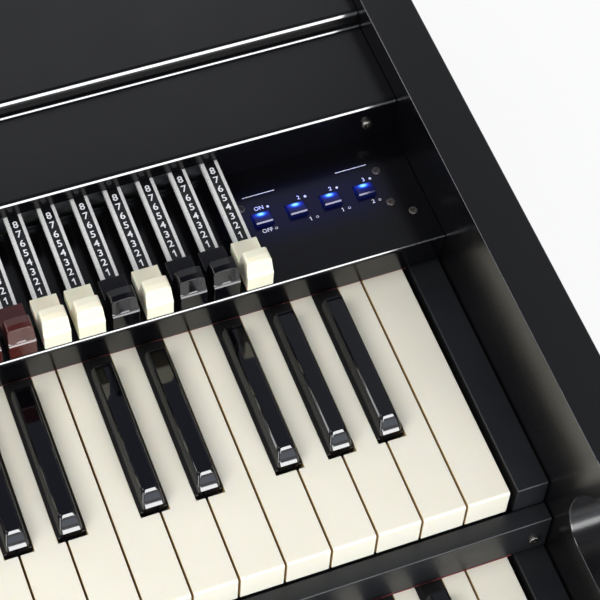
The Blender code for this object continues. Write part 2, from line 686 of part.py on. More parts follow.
def knob_mesh():
    """A drawbar knob about its face and stem top: low rear step, domed grip, ledge on its face."""
    foot = PANEL_TOP + KNOB_FOOT - STEM_TOP
    top = PANEL_TOP + KNOB_RISE - STEM_TOP
    rear = KNOB_DEPTH
    points = [(rear, foot), (rear, 0.0010), (rear - 0.0120, 0.0013), (0.0105, top - 0.0012),
              (0.0060, top), (0.0020, top - 0.0010), (0.0011, top - 0.0082), (0, top - 0.0088),
              (0, foot + 0.0010), (0.0010, foot)]
    mesh = profile_mesh(points, KNOB_WIDTH)
    for vertex in mesh.vertices:
        lift = max(0.0, (vertex.co.z - 0.0013) / (top - 0.0013))
        vertex.co.x *= 1 - (1 - KNOB_TOP_WIDTH / KNOB_WIDTH) * lift
    return mesh


def stem_mesh():
    half = STEM_WIDTH / 2
    return box_mesh((-half, KNOB_DEPTH - 0.010, -STEM_THICKNESS), (half, STEM_TAIL - KNOB_FRONT, 0))


def build_drawbars():
    """Nine sliding drawbars of the right-hand set. The other sets are one piece with the frame."""
    bar = united(knob_mesh(), stem_mesh())
    places = drawbar_places()
    moving = places[-DRAWBARS_PER_SET:]
    fixed = places[:-DRAWBARS_PER_SET]
    for x, step in moving:
        finish = KNOB_COLOURS[FOOTAGE_COLOURS[step]]
        add(f"drawbar_{step + 1}", bar.copy(), finish, (x, KNOB_FRONT, STEM_TOP))
    floor, wall_top = BED_TOP + GAP, SHELF_FOOT - GAP
    line = [(FRAME_FRONT, wall_top), (FRAME_FRONT, floor), (FRAME_REAR, floor), (FRAME_REAR, wall_top)]
    frame = sheet_mesh(line, 2 * (OUTER_SET + DRAWBAR_PITCH), SHEET)
    side = STEM_WIDTH / 2 + GAP
    slot = box_mesh((-side, FRAME_FRONT - 0.01, STEM_TOP - STEM_THICKNESS - GAP),
                    (side, FRAME_REAR + 0.01, STEM_TOP + 0.01))
    frame = cut(frame, joined(*[(slot, (x, 0, 0)) for x, step in moving]))
    others = joined(*[(bar, (x, KNOB_FRONT, STEM_TOP)) for x, step in fixed])
    add("drawbar_frame", united(frame, others), KNOB_BLACK)


def build_buttons():
    """Push buttons with a sloped cap, and the board with their switches under the panel."""
    half = BUTTON_WIDTH / 2
    collar = PANEL_TOP - SHEET - 0.0006
    board_top = PANEL_TOP - BOARD_DROP
    switch_top = board_top + SWITCH_RISE
    stem_foot = switch_top + BUTTON_TRAVEL + GAP
    front = PANEL_FRONT + BUTTON_SETBACK
    rear = front + BUTTON_DEPTH
    cap_front = PANEL_TOP + BUTTON_PROUD
    outline = [(front, stem_foot), (front, cap_front - 0.0006), (front + 0.0006, cap_front),
               (rear, PANEL_TOP + BUTTON_REAR_PROUD), (rear, stem_foot)]
    collar_points = [(front - 0.001, stem_foot), (front - 0.001, collar), (rear + 0.001, collar),
                     (rear + 0.001, stem_foot)]
    cap = united(profile_mesh(outline, 2 * half), profile_mesh(collar_points, 2 * half + 0.002))
    for number, x in enumerate(button_places()):
        add(f"percussion_button_{number + 1}", cap.copy(), BLUE_CAP, (x, 0, 0))
    places = button_places()
    left, right = places[0] - BOARD_MARGIN, places[-1] + BOARD_MARGIN
    low, high = front - 0.010, rear + 0.010
    board = box_mesh((left, low, board_top - BOARD_THICKNESS), (right, high, board_top))
    switch = box_mesh((-0.003, front + 0.001, board_top - 0.0005), (0.003, front + 0.007, switch_top))
    switches = [(switch, (x, 0, 0)) for x in places]
    post = cylinder_mesh(POST_RADIUS, board_top - 0.0005, PANEL_TOP - SHEET - GAP, 8)
    posts = [(post, (x, y, 0)) for x in (left + POST_INSET, right - POST_INSET)
             for y in (low + POST_INSET, high - POST_INSET)]
    add("button_board", united(board, joined(*switches), joined(*posts)), GREEN_BOARD)


def build_volume_knob():
    """Knob with a fluted skirt and its shaft through the panel."""
    grip = cylinder_mesh(VOLUME_RADIUS, GAP, VOLUME_HEIGHT, 24, 0.86)
    flute = cylinder_mesh(0.0016, 0.004, VOLUME_HEIGHT + 0.01, 8)
    flutes = []
    for step in range(8):
        angle = 2 * math.pi * (step + 0.5) / 8
        flutes.append((flute, (VOLUME_RADIUS * math.cos(angle), VOLUME_RADIUS * math.sin(angle), 0)))
    shaft = cylinder_mesh(SHAFT_RADIUS, -0.012, GAP + 0.002, 16)
    knob = united(cut(grip, joined(*flutes)), shaft)
    add("volume_knob", knob, KNOB_BLACK, volume_place(), smooth=True)


def build_electronics():
    """Main board on its standoffs and the metal cased power supply behind the lower manual."""
    floor = BASE_TOP + GAP
    y = REAR_FACE - ELECTRONICS_SETBACK
    half_width, half_depth = MAIN_BOARD_WIDTH / 2, MAIN_BOARD_DEPTH / 2
    board_foot = floor + STANDOFF_HEIGHT
    board = box_mesh((-half_width, -half_depth, board_foot),
                     (half_width, half_depth, board_foot + BOARD_THICKNESS))
    stand = cylinder_mesh(STANDOFF_RADIUS, floor, board_foot + 0.001, 8)
    stands = [(stand, (side * (half_width - 0.006), end * (half_depth - 0.006), 0))
              for side in (-1, 1) for end in (-1, 1)]
    level = board_foot + 0.0011
    chip = box_mesh((-0.012, -0.012, level), (0.012, 0.012, level + 0.003))
    header = box_mesh((-0.030, -0.004, level), (0.030, 0.004, level + 0.009))
    parts = [(chip, (-0.055, 0, 0)), (chip, (0.005, 0.010, 0)),
             (header, (0.055, -0.045, 0)), (header, (-0.045, 0.045, 0))]
    mesh = united(board, joined(*stands), joined(*parts))
    add("main_board", mesh, GREEN_BOARD, (MAIN_BOARD_X, y, 0))
    half_width, half_depth = SUPPLY_WIDTH / 2, SUPPLY_DEPTH / 2
    supply = box_mesh((-half_width, -half_depth, 0), (half_width, half_depth, SUPPLY_HEIGHT))
    slot = box_mesh((-0.002, -0.030, SUPPLY_HEIGHT - 0.010), (0.002, 0.030, SUPPLY_HEIGHT + 0.010))
    slots = [(slot, (step * SUPPLY_SLOT_PITCH, 0, 0)) for step in range(-3, 4)]
    add("power_supply", cut(supply, joined(*slots)), ZINC_STEEL, (SUPPLY_X, y, floor))


def jack_places():
    """X of the four jack sockets on the connector plate, from its middle."""
    return [-0.100 + number * JACK_PITCH for number in range(4)]


def housing_and_room(width, height, depth):
    """Outer box behind the connector plate and the cutter that hollows it, open to the rear."""
    room = (width / 2, height / 2)
    outer = (room[0] + INLET_WALL, room[1] + INLET_WALL)
    housing = box_mesh((-outer[0], -depth - INLET_WALL, -outer[1]),
                       (outer[0], PLATE_SHEET / 2, outer[1]))
    return housing, box_mesh((-room[0], -depth, -room[1]), (room[0], 0.01, room[1]))


def build_connector_plate():
    """Rear plate with jack barrels, the mains inlet and the housing of the rocker switch."""
    place = Vector((PLATE_OFFSET, CASE_REAR - PLATE_REBATE + GAP, BASE_TOP + PLATE_LIFT))
    plate = box_mesh((-PLATE_WIDTH / 2, 0, -PLATE_HEIGHT / 2),
                     (PLATE_WIDTH / 2, PLATE_SHEET, PLATE_HEIGHT / 2))
    barrel = cylinder_mesh(JACK_BARREL, -JACK_NUT - PLATE_SHEET, JACK_DEPTH, 16)
    bore = cylinder_mesh(JACK_RADIUS, -0.01, JACK_DEPTH + 0.01, 12)
    for mesh in (barrel, bore):
        mesh.transform(Matrix.Rotation(math.radians(90), 4, "X"))
    inlet, inlet_room = housing_and_room(INLET_WIDTH, INLET_HEIGHT, INLET_DEPTH)
    housing, switch_room = housing_and_room(SWITCH_WIDTH + 2 * SWITCH_CLEARANCE,
                                            SWITCH_HEIGHT + 2 * SWITCH_CLEARANCE, SWITCH_ROOM)
    inlet_at, switch_at = Vector((0.090, 0, 0)), Vector((0.046, 0, 0))
    barrels = [(barrel, (x, 0, 0)) for x in jack_places()]
    bores = [(bore, (x, 0, 0)) for x in jack_places()]
    mesh = united(plate, joined(*barrels, (inlet, inlet_at), (housing, switch_at)))
    mesh = cut(mesh, joined(*bores, (inlet_room, inlet_at), (switch_room, switch_at)))
    add("connector_plate", mesh, ZINC_STEEL, place)
    build_switch(place + switch_at)


def build_switch(place):
    """Rocker about its own axis, which lies level with the plate's inner face."""
    half = SWITCH_HEIGHT / 2
    points = [(-0.0050, 0.002 - half), (0.0024, 0.0008 - half), (0.0012, 0), (0.0036, half - 0.0008),
              (-0.0050, half - 0.002)]
    add("power_switch", profile_mesh(points, SWITCH_WIDTH), KNOB_BLACK, place)


def build_organ():
    build_case()
    build_feet()
    build_manual("upper", KEY_FRONT, UPPER_TOP, MOVING_UPPER)
    build_manual("lower", LOWER_FRONT, LOWER_TOP, MOVING_LOWER)
    build_blocks()
    build_slips_and_felts()
    build_control_panel()
    build_drawbars()
    build_buttons()
    build_volume_knob()
    build_electronics()
    build_connector_plate()


build_organ()
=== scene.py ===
import math

import bmesh
import bpy
from mathutils import Euler, Matrix, Vector


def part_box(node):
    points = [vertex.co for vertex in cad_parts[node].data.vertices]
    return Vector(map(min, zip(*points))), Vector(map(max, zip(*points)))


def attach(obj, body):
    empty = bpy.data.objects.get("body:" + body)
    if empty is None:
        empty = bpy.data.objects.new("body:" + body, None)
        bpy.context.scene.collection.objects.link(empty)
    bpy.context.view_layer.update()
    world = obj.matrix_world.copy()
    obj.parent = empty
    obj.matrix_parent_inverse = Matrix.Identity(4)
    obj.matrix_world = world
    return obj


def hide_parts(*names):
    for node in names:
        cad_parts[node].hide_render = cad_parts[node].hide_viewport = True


# A portable organ with two stepped manuals: a black lacquered case, waterfall keys with black
# sharps, a folded metal panel with drawbars, and four push buttons lit from inside.
# Lengths are in metres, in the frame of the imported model, whose origin is under its middle.

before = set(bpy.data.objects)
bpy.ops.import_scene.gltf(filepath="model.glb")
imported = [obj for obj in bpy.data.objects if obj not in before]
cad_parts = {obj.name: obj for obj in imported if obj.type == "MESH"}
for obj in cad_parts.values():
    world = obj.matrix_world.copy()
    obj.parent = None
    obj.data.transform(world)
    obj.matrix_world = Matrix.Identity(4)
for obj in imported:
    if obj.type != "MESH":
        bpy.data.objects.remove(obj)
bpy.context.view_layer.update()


# The cheeks: the two side panels, sawn from board with a scrolled nose, edges broken with a
# router, then sprayed with black polyurethane lacquer and rubbed down to satin.

def linear(code):
    """An sRGB hex colour as linear red, green, blue and alpha."""
    parts = [int(code[place:place + 2], 16) / 255 for place in (1, 3, 5)]
    return [part / 12.92 if part <= 0.04045 else ((part + 0.055) / 1.055) ** 2.4 for part in parts] + [1.0]


def node(tree, kind, settings, links):
    """Adds one node with its settings and socket values, and links its inputs."""
    made = tree.nodes.new(kind)
    for name, value in settings.items():
        if isinstance(name, int) or name in made.inputs:
            made.inputs[name].default_value = value
        else:
            setattr(made, name, value)
    for name, source in links.items():
        tree.links.new(source, made.inputs[name])
    return made


def material(name, base, roughness, **sockets):
    """A new material, its node tree, its shader with constants set, and the coordinates it reads."""
    made = bpy.data.materials.new(name)
    made.use_nodes = True
    tree = made.node_tree
    shader = tree.nodes["Principled BSDF"]
    shader.inputs["Base Color"].default_value = linear(base)
    shader.inputs["Roughness"].default_value = roughness
    for socket, value in sockets.items():
        shader.inputs[socket.replace("_", " ")].default_value = value
    return made, tree, shader, node(tree, "ShaderNodeTexCoord", {}, {}).outputs["Object"]


def uneven_gloss(tree, shader, coords, scale, detail, low, high, trim=0.0):
    """Lets the roughness drift between two values in patches, with the pattern's extremes trimmed off."""
    patches = node(tree, "ShaderNodeTexNoise", {"Scale": scale, "Detail": detail}, {"Vector": coords})
    gloss = node(tree, "ShaderNodeMapRange",
                 {"From Min": trim, "From Max": 1 - trim, "To Min": low, "To Max": high},
                 {"Value": patches.outputs["Fac"]})
    tree.links.new(gloss.outputs["Result"], shader.inputs["Roughness"])


# Lacquer sprays on with a faint orange peel about 1.5 mm across, and the rubbing leaves it
# a little uneven in gloss, in patches of a few centimetres.
lacquer, tree, shader, coords = material("satin_black_polyurethane_lacquer", "#070708", 0.24)
uneven_gloss(tree, shader, coords, 25.0, 3.0, 0.21, 0.27, 0.3)
peel = node(tree, "ShaderNodeTexNoise", {"Scale": 650.0, "Detail": 1.0}, {"Vector": coords})
bump = node(tree, "ShaderNodeBump", {"Strength": 0.05, "Distance": 0.0002}, {"Height": peel.outputs["Fac"]})
tree.links.new(bump.outputs["Normal"], shader.inputs["Normal"])

# The edges are burnished after the last coat, so they catch the light in fine bright lines.
burnished, tree, shader, coords = material("burnished_lacquer_edge", "#08080a", 0.12, IOR=1.85)
uneven_gloss(tree, shader, coords, 90.0, 3.0, 0.08, 0.17)


def pick(kind, test):
    """In edit mode, selects only the points, creased edges or faces whose middle passes a test."""
    bpy.ops.mesh.select_mode(type=kind)
    bpy.ops.mesh.select_all(action="DESELECT")
    mesh = bmesh.from_edit_mesh(bpy.context.edit_object.data)
    if kind == "VERT":
        chosen = [vert for vert in mesh.verts if test(vert.co)]
    elif kind == "EDGE":
        creased = [edge for edge in mesh.edges if edge.calc_face_angle(0) > math.radians(12)]
        chosen = [edge for edge in creased if test((edge.verts[0].co + edge.verts[1].co) / 2)]
    else:
        chosen = [face for face in mesh.faces if test(face.calc_center_median())]
    for item in chosen:
        item.select_set(True)
    mesh.select_flush_mode()
    bmesh.update_edit_mesh(bpy.context.edit_object.data)


def begin(name):
    """Names the new primitive, puts its place in its mesh and opens it for editing."""
    made = bpy.context.object
    made.name = made.data.name = name
    bpy.ops.object.transform_apply(location=True, rotation=True, scale=True)
    bpy.ops.object.mode_set(mode="EDIT")
    return made


def outline(name, x, start, moves):
    """Draws a side outline from a point: (y, z) draws a line, (y, z, degrees) turns about a centre."""
    bpy.ops.object.select_all(action="DESELECT")
    bpy.ops.mesh.primitive_plane_add(size=0.001, location=(x, *start))
    made = begin(name)
    bpy.ops.mesh.select_mode(type="VERT")
    bpy.ops.mesh.select_all(action="SELECT")
    bpy.ops.mesh.merge(type="CENTER")
    pen = Vector(start)
    for move in moves:
        if len(move) == 2:
            step = Vector(move) - pen
            bpy.ops.mesh.extrude_vertices_move(TRANSFORM_OT_translate={"value": (0, step.x, step.y)})
            pen = Vector(move)
        else:
            centre, turn = Vector(move[:2]), math.radians(move[2])
            steps = max(3, round(abs(move[2]) / 7))
            bpy.ops.mesh.spin(steps=steps, angle=-turn, center=(x, *centre), axis=(1, 0, 0))
            pen = centre + Matrix.Rotation(turn, 2) @ (pen - centre)
    return made


def draw_out(move):
    """Draws what is selected out by a move."""
    bpy.ops.mesh.extrude_region_move(TRANSFORM_OT_translate={"value": move})


def thicken(width):
    """Closes the outline being drawn, fills it and draws it out along X."""
    bpy.ops.mesh.select_all(action="SELECT")
    bpy.ops.mesh.edge_face_add()
    draw_out((width, 0, 0))
    bpy.ops.mesh.select_all(action="SELECT")
    bpy.ops.mesh.remove_doubles(threshold=0.00001)
    bpy.ops.mesh.normals_make_consistent(inside=False)


def round_edges(radius, segments=3, test=None):
    """Rounds the sharp edges of the piece being edited, or those that pass a test."""
    bpy.ops.mesh.select_mode(type="EDGE")
    if test is None:
        bpy.ops.mesh.select_all(action="DESELECT")
        bpy.ops.mesh.edges_select_sharp(sharpness=math.radians(40))
    else:
        pick("EDGE", test)
    bpy.ops.mesh.bevel(offset=radius, segments=segments, affect="EDGES", clamp_overlap=True)


def apply_modifier(piece, kind, **settings):
    """Adds a modifier with its settings and applies it."""
    bpy.ops.object.select_all(action="DESELECT")
    piece.select_set(True)
    bpy.context.view_layer.objects.active = piece
    made = piece.modifiers.new(kind, kind)
    for name, value in settings.items():
        setattr(made, name, value)
    bpy.ops.object.modifier_apply(modifier=made.name)


def polish(piece, angle=35):
    """Closes the edit and smooths the rounded edges, while the flat faces stay flat."""
    bpy.ops.object.mode_set(mode="OBJECT")
    bpy.ops.object.shade_smooth_by_angle(angle=math.radians(angle))
    apply_modifier(piece, "WEIGHTED_NORMAL", keep_sharp=True)


def burnish(piece, test, crisp=True):
    """Gives the faces whose normal passes a test the burnished finish, with crisp borders or soft ones."""
    mesh = piece.data
    mesh.materials.append(burnished)
    for face in mesh.polygons:
        if test(face.normal):
            face.material_index = len(mesh.materials) - 1
            for corner in face.loop_indices:
                edge = mesh.edges[mesh.loops[corner].edge_index]
                edge.use_edge_sharp = edge.use_edge_sharp or crisp
    polish(piece)


def cover(piece, coat):
    """Gives a piece one material all over."""
    piece.data.materials.clear()
    piece.data.materials.append(coat)


def fix(piece, body, stands_for=()):
    """Fixes a piece to its body, and hides the CAD nodes it stands for."""
    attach(piece, body)
    if stands_for:
        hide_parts(*stands_for)


def finish(piece, coat, body="case", stands_for=()):
    """Polishes a piece, gives it its material and fixes it to its body."""
    polish(piece)
    cover(piece, coat)
    fix(piece, body, stands_for)


def copied(piece, name, move, coat=None, body="case", stands_for=()):
    """A copy with its own mesh, moved within its mesh, fixed to its own body."""
    made = bpy.data.objects.new(name, piece.data.copy())
    made.data.name = name
    made.data.transform(Matrix.Translation(move))
    bpy.context.scene.collection.objects.link(made)
    if coat:
        cover(made, coat)
    fix(made, body, stands_for)
    return made


# Front and top of the upper white keys, ends and half the inner width of the case, and the gap
# left between pieces that touch.
UPPER_FRONT, UPPER_TOP = -0.10795, 0.1125
CASE_FRONT, CASE_REAR = -0.280, 0.280
INSIDE, GAP = 0.4431, 0.0003
cheek_inner = INSIDE + GAP
cheek_outer = cheek_inner + 0.026
cheek_top, arm_top, underside = 0.1805, 0.1055, 0.012
nose, cove = UPPER_FRONT - 0.040, UPPER_FRONT - 0.021
nose_round, belly_round, cove_round, arm_round, toe_round = 0.013, 0.020, 0.015, 0.020, 0.006
curve_top, curve_foot = cheek_top - nose_round, arm_top + cove_round
sweep = math.degrees(2 * math.atan2(cove - nose, curve_top - curve_foot))
hollow_round = (curve_top - curve_foot) / math.sin(math.radians(sweep)) - belly_round
arm_end = arm_top - 0.0003
cheek = outline("cheek_right", cheek_inner, (CASE_REAR, underside), [
    (CASE_REAR, cheek_top),
    (nose + nose_round, cheek_top),
    (nose + nose_round, curve_top, 90),
    (nose + belly_round, curve_top, sweep),
    (cove - hollow_round, curve_foot, -sweep),
    (cove - cove_round, curve_foot, -90),
    (CASE_FRONT + arm_round, arm_end),
    (CASE_FRONT + arm_round, arm_end - arm_round, 90),
    (CASE_FRONT, underside + toe_round),
    (CASE_FRONT + toe_round, underside + toe_round, 90)])
thicken(cheek_outer - cheek_inner)
round_edges(0.0006, 4, lambda co: not cheek_inner + 0.001 < co.x < cheek_outer - 0.001)
finish(cheek, lacquer, stands_for=["right_cheek"])
burnish(cheek, lambda normal: 0.1 < abs(normal.x) < 0.98, crisp=False)
copied(cheek, "cheek_left", (-cheek_inner - cheek_outer, 0, 0), stands_for=["left_cheek"])


# The top of the case: a shelf board behind the panel and a thicker lid board on it, both with
# a rounded front edge, in the same black lacquer.

def front_edge(normal):
    """Tells the faces of a rounded front edge, which lean forward and up."""
    return abs(normal.x) < 0.1 and 0.6 < -normal.y < 0.805 and normal.z > 0.3


wall = UPPER_FRONT + 0.2098
wall_back = wall + 0.0018
shelf_front, shelf_top = UPPER_FRONT + 0.2093, UPPER_TOP + 0.050
shelf_lip, shelf_foot = shelf_top - 0.003, shelf_top - 0.010
shelf = outline("shelf_board", -INSIDE, (shelf_front, shelf_lip), [
    (shelf_front, shelf_top - 0.0014),
    (shelf_front + 0.00065, shelf_top - 0.00056),
    (shelf_front + 0.0026, shelf_top),
    (CASE_REAR, shelf_top),
    (CASE_REAR, shelf_foot),
    (wall_back, shelf_foot),
    (wall_back, shelf_lip)])
thicken(2 * INSIDE)
round_edges(0.0001, 2)
finish(shelf, lacquer, stands_for=["shelf"])
burnish(shelf, front_edge)

lid_front, lid_rear = shelf_front + 0.0545, CASE_REAR - 0.002
lid_foot, lid_top = shelf_top + GAP, shelf_top + 0.0081
lid = outline("lid_board", -INSIDE, (lid_front - 0.0026, lid_foot), [
    (lid_front - 0.0026, shelf_top + 0.0006),
    (lid_front - 0.0020, shelf_top + 0.0014),
    (lid_front + 0.0005, shelf_top + 0.0015),
    (lid_front + 0.0007, lid_top - 0.00258),
    (lid_front + 0.00125, lid_top - 0.001745),
    (lid_front + 0.0021, lid_top - 0.000625),
    (lid_front + 0.003821, lid_top - 0.00267, -40),
    (lid_rear, lid_top),
    (lid_rear, lid_foot)])
thicken(2 * INSIDE)
round_edges(0.0001, 2)
finish(lid, lacquer, stands_for=["lid"])
burnish(lid, front_edge)


# The key slips: square rails in front of each manual, and the blocks at both ends of the
# keys, all lacquered with the case.

def board(name, low, high):
    """A board: a cube primitive at its size and place, open for editing."""
    bpy.ops.object.select_all(action="DESELECT")
    low, high = Vector(low), Vector(high)
    bpy.ops.mesh.primitive_cube_add(size=1, location=(low + high) / 2, scale=high - low)
    return begin(name)


# These small parts are rubbed down further than the case, which leaves them matt and a shade paler.
matt_lacquer, tree, shader, coords = material("matt_black_polyurethane_lacquer", "#18191c", 0.42)
uneven_gloss(tree, shader, coords, 60.0, 4.0, 0.37, 0.46, 0.3)

LOWER_FRONT, LOWER_TOP = -0.25835, 0.0640
slip_front, slip_rear, slip_drop = 0.0109, 0.0009, 0.0193
for word, front, low, high in (("upper", UPPER_FRONT, LOWER_TOP + 0.0016, UPPER_TOP - slip_drop),
                               ("front", LOWER_FRONT, underside, LOWER_TOP - slip_drop)):
    slip = board(f"key_slip_{word}", (-INSIDE, front - slip_front, low), (INSIDE, front - slip_rear, high))
    round_edges(0.0009)
    finish(slip, matt_lacquer, stands_for=[f"{word}_key_slip"])

# What shows of a white key, its whole length, and the heights of the boards round the keys.
key_shown, key_length = 0.1392, 0.203
panel_top, bed_top = UPPER_TOP + 0.024, UPPER_TOP - 0.034
bed_foot, base_top = bed_top - 0.0123, underside + 0.018
block_inner, block_width = 0.4260, 0.0171
block_rise = UPPER_FRONT + key_shown + 0.0090
upper_corners = [
    (UPPER_FRONT - 0.0006, bed_top + GAP),
    (UPPER_FRONT - 0.0006, UPPER_TOP),
    (block_rise, UPPER_TOP),
    (block_rise, panel_top - 0.0018),
    (wall, panel_top - 0.0018),
    (wall, bed_top + GAP)]
lower_corners = [
    (LOWER_FRONT - 0.0006, base_top + GAP),
    (LOWER_FRONT - 0.0006, LOWER_TOP),
    (UPPER_FRONT - slip_rear, LOWER_TOP),
    (UPPER_FRONT - slip_rear, bed_foot),
    (LOWER_FRONT + key_length, bed_foot),
    (LOWER_FRONT + key_length, base_top + GAP)]
for manual, corners in (("upper", upper_corners), ("lower", lower_corners)):
    block = outline(f"end_block_{manual}_right", block_inner, corners[0], corners[1:])
    thicken(block_width)
    round_edges(0.0010, 4)
    finish(block, matt_lacquer, stands_for=[f"{manual}_key_block_right"])
    if manual == "upper":
        burnish(block, front_edge, crisp=False)
    copied(block, f"end_block_{manual}_left", (-2 * block_inner - block_width, 0, 0),
           stands_for=[f"{manual}_key_block_left"])


# The white keys: waterfall keys moulded in ivory coloured ABS and polished. Each has a square
# lip, lightly rounded edges, and notches where the sharps stand beside it.

def clouded(tree, shader, coords, scale, detail, pale, deep):
    """Lets two shades cloud into each other, and returns the pattern for what follows it."""
    cloud = node(tree, "ShaderNodeTexNoise", {"Scale": scale, "Detail": detail}, {"Vector": coords})
    shades = node(tree, "ShaderNodeMix", {"data_type": "RGBA", 6: linear(pale), 7: linear(deep)},
                  {0: cloud.outputs["Fac"]})
    tree.links.new(shades.outputs[2], shader.inputs["Base Color"])
    return cloud.outputs["Fac"]


# Polished ABS is a little translucent, so light that enters the edges comes out warmer.
ivory, tree, shader, coords = material("ivory_abs_polished", "#ece7d6", 0.26, Subsurface_Weight=0.2,
                                       Subsurface_Scale=0.004, Subsurface_Radius=(1.0, 0.72, 0.35))
clouded(tree, shader, coords, 30.0, 2.0, "#efeada", "#e9e4d2")


def moulded(name, pale, deep, roughness, **sockets):
    """Moulded plastic: two close shades that cloud into each other over a few millimetres."""
    made, tree, shader, coords = material(name, pale, roughness, **sockets)
    clouded(tree, shader, coords, 180.0, 2.0, pale, deep)
    return made


# The sides of the keys are left unpolished. Their darker amber colour is painted warm shade, in place of the
# dim warm light in the gaps between the keys.
ivory_sides_painted_warm_shade = moulded("ivory_abs_sides_painted_warm_shade", "#cdb482", "#bf9f66", 0.5)


def punch(piece, low, high):
    """Cuts a square hole in a piece with a punch that is thrown away."""
    tool = board("punch", low, high)
    bpy.ops.object.mode_set(mode="OBJECT")
    apply_modifier(piece, "BOOLEAN", operation="DIFFERENCE", object=tool, solver="EXACT")
    bpy.data.objects.remove(tool)


pivot_line, slot_half = UPPER_FRONT + 0.196, 0.0014


def slotted(key):
    """Cuts the slot in a key's tail that rides on the flange of the chassis, clear of it all round."""
    bpy.ops.object.mode_set(mode="OBJECT")
    punch(key, (-0.02, pivot_line - slot_half, UPPER_TOP - 0.02),
          (0.02, pivot_line + slot_half, UPPER_TOP - 0.0057))


def score(place, normal):
    """Cuts a line of edges round the piece being edited, through a place and square to a normal."""
    bpy.ops.mesh.select_all(action="SELECT")
    bpy.ops.mesh.bisect(plane_co=place, plane_no=normal)


# Each sharp stands off the line between its two white keys, by this much to the right.
OFFSETS = {"C": -0.0024, "D": 0.0022, "F": -0.0036, "G": 0.0003, "A": 0.0033}
PITCH, HALF_KEY, HALF_NOTCH = 0.0235, 0.01125, 0.0073
KEY_THICKNESS, LIP_THICKNESS, LIP_DROP, NOTCH_START = 0.012, 0.0032, 0.007, 0.0472


def white_key(name, cut_left, cut_right):
    """A white key of the upper manual about x = 0, with the tail between its two notches."""
    front, top = UPPER_FRONT, UPPER_TOP
    lip, shoulder, tail = front + LIP_THICKNESS, front + NOTCH_START, front + key_length
    made = board(name, (-HALF_KEY, front, top - KEY_THICKNESS), (HALF_KEY, shoulder, top))
    left = -HALF_KEY if cut_left is None else -PITCH / 2 + cut_left + HALF_NOTCH
    right = HALF_KEY if cut_right is None else PITCH / 2 + cut_right - HALF_NOTCH
    for side in (left, right):
        score((side, 0, 0), (1, 0, 0))
    pick("FACE", lambda co: co.y > shoulder - 0.0001 and left < co.x < right)
    draw_out((0, tail - shoulder, 0))
    score((0, lip, 0), (0, 1, 0))
    pick("FACE", lambda co: co.z < top - KEY_THICKNESS + 0.0001 and co.y < lip)
    draw_out((0, 0, -LIP_DROP))
    bpy.ops.mesh.select_all(action="SELECT")
    bpy.ops.mesh.dissolve_limited(angle_limit=math.radians(1))
    round_edges(0.0014, 4, lambda co: abs(co.y - front) < 0.0001 and abs(co.z - top) < 0.0001)
    round_edges(0.0006, 2)
    slotted(made)
    return made


def add_side_finish(piece, face_coat, side_coat, is_side):
    """Gives a key one finish where fingers touch it, and another on the faces that pass a test."""
    cover(piece, face_coat)
    piece.data.materials.append(side_coat)
    for face in piece.data.polygons:
        face.material_index = 1 if is_side(face) else 0


def place_keys(shape, kind, note, index, middle, first_moving):
    """Copies a key to both manuals, where the keys from a number on ride on bodies of their own."""
    step_down = (LOWER_FRONT - UPPER_FRONT, LOWER_TOP - UPPER_TOP)
    for manual, drop, first in zip(("upper", "lower"), ((0, 0), step_down), first_moving):
        key = f"{manual}_key_{note}{index // 7 + 1}"
        body, stands_for = ("case", []) if index < first else (key, [key])
        copied(shape, f"{kind}_{key}", (middle, *drop), None, body, stands_for)


NOTES = "CDEFGAB"
white_shapes = {}
for index in range(36):
    left_note = NOTES[(index - 1) % 7] if index else "E"
    right_note = NOTES[index % 7] if index < 35 else "E"
    sides = (OFFSETS.get(left_note), OFFSETS.get(right_note))
    if sides not in white_shapes:
        shape = white_key(f"white_key_shape_{len(white_shapes)}", *sides)
        polish(shape)
        add_side_finish(shape, ivory, ivory_sides_painted_warm_shade, lambda face: abs(face.normal.x) > 0.9)
        white_shapes[sides] = shape
    place_keys(white_shapes[sides], "white", NOTES[index % 7].lower(), index, (index - 17.5) * PITCH,
               (28, 34))
for shape in white_shapes.values():
    bpy.data.objects.remove(shape)


# The sharps: one-piece black keys with a tapered cap, a sloped nose and small rounded edges,
# moulded in black ABS and polished to a high gloss.

gloss_black, tree, shader, coords = material("black_abs_high_gloss", "#050507", 0.05, IOR=1.65)
uneven_gloss(tree, shader, coords, 120.0, 4.0, 0.03, 0.08)

# The sides of the sharps are left as moulded, in a fine texture that stays dark beside the ivory.
fine_black = moulded("black_abs_fine_texture", "#0b0b0d", "#08080a", 0.6)

sharp_front, sharp_rear, sharp_foot = UPPER_FRONT + 0.0491, UPPER_FRONT + 0.130, UPPER_TOP - 0.0015
blank_width, blank_height = 0.0114, 0.0125
sharp = board("sharp_shape", (-blank_width / 2, sharp_front, sharp_foot),
              (blank_width / 2, sharp_rear, sharp_foot + blank_height))
# Each level's height over the foot, how far the nose leans back there, and the cap's width.
levels = ((0.0048, 0.0, 0.0113), (0.0070, 0.0020, 0.0111), (0.0088, 0.00315, 0.0103),
          (0.0109, 0.0045, 0.0091), (blank_height, 0.0060, 0.0075))
for height, lean, width in levels[:-1]:
    score((0, 0, sharp_foot + height), (0, 0, 1))
for height, lean, width in levels:
    pick("VERT", lambda co: abs(co.z - sharp_foot - height) < 0.0001)
    bpy.ops.transform.resize(value=(width / blank_width, 1, 1))
    pick("VERT", lambda co: abs(co.z - sharp_foot - height) < 0.0001 and co.y < sharp_front + 0.02)
    bpy.ops.transform.translate(value=(0, lean, 0))
pick("VERT", lambda co: co.z > sharp_foot + 0.012 and co.y > sharp_front + 0.02)
bpy.ops.transform.translate(value=(0, -0.001, -0.0020))
round_edges(0.0016, 5, lambda co: abs(co.x) > 0.003 and co.y < sharp_front + 0.0072
            and co.z < sharp_foot + 0.0122)
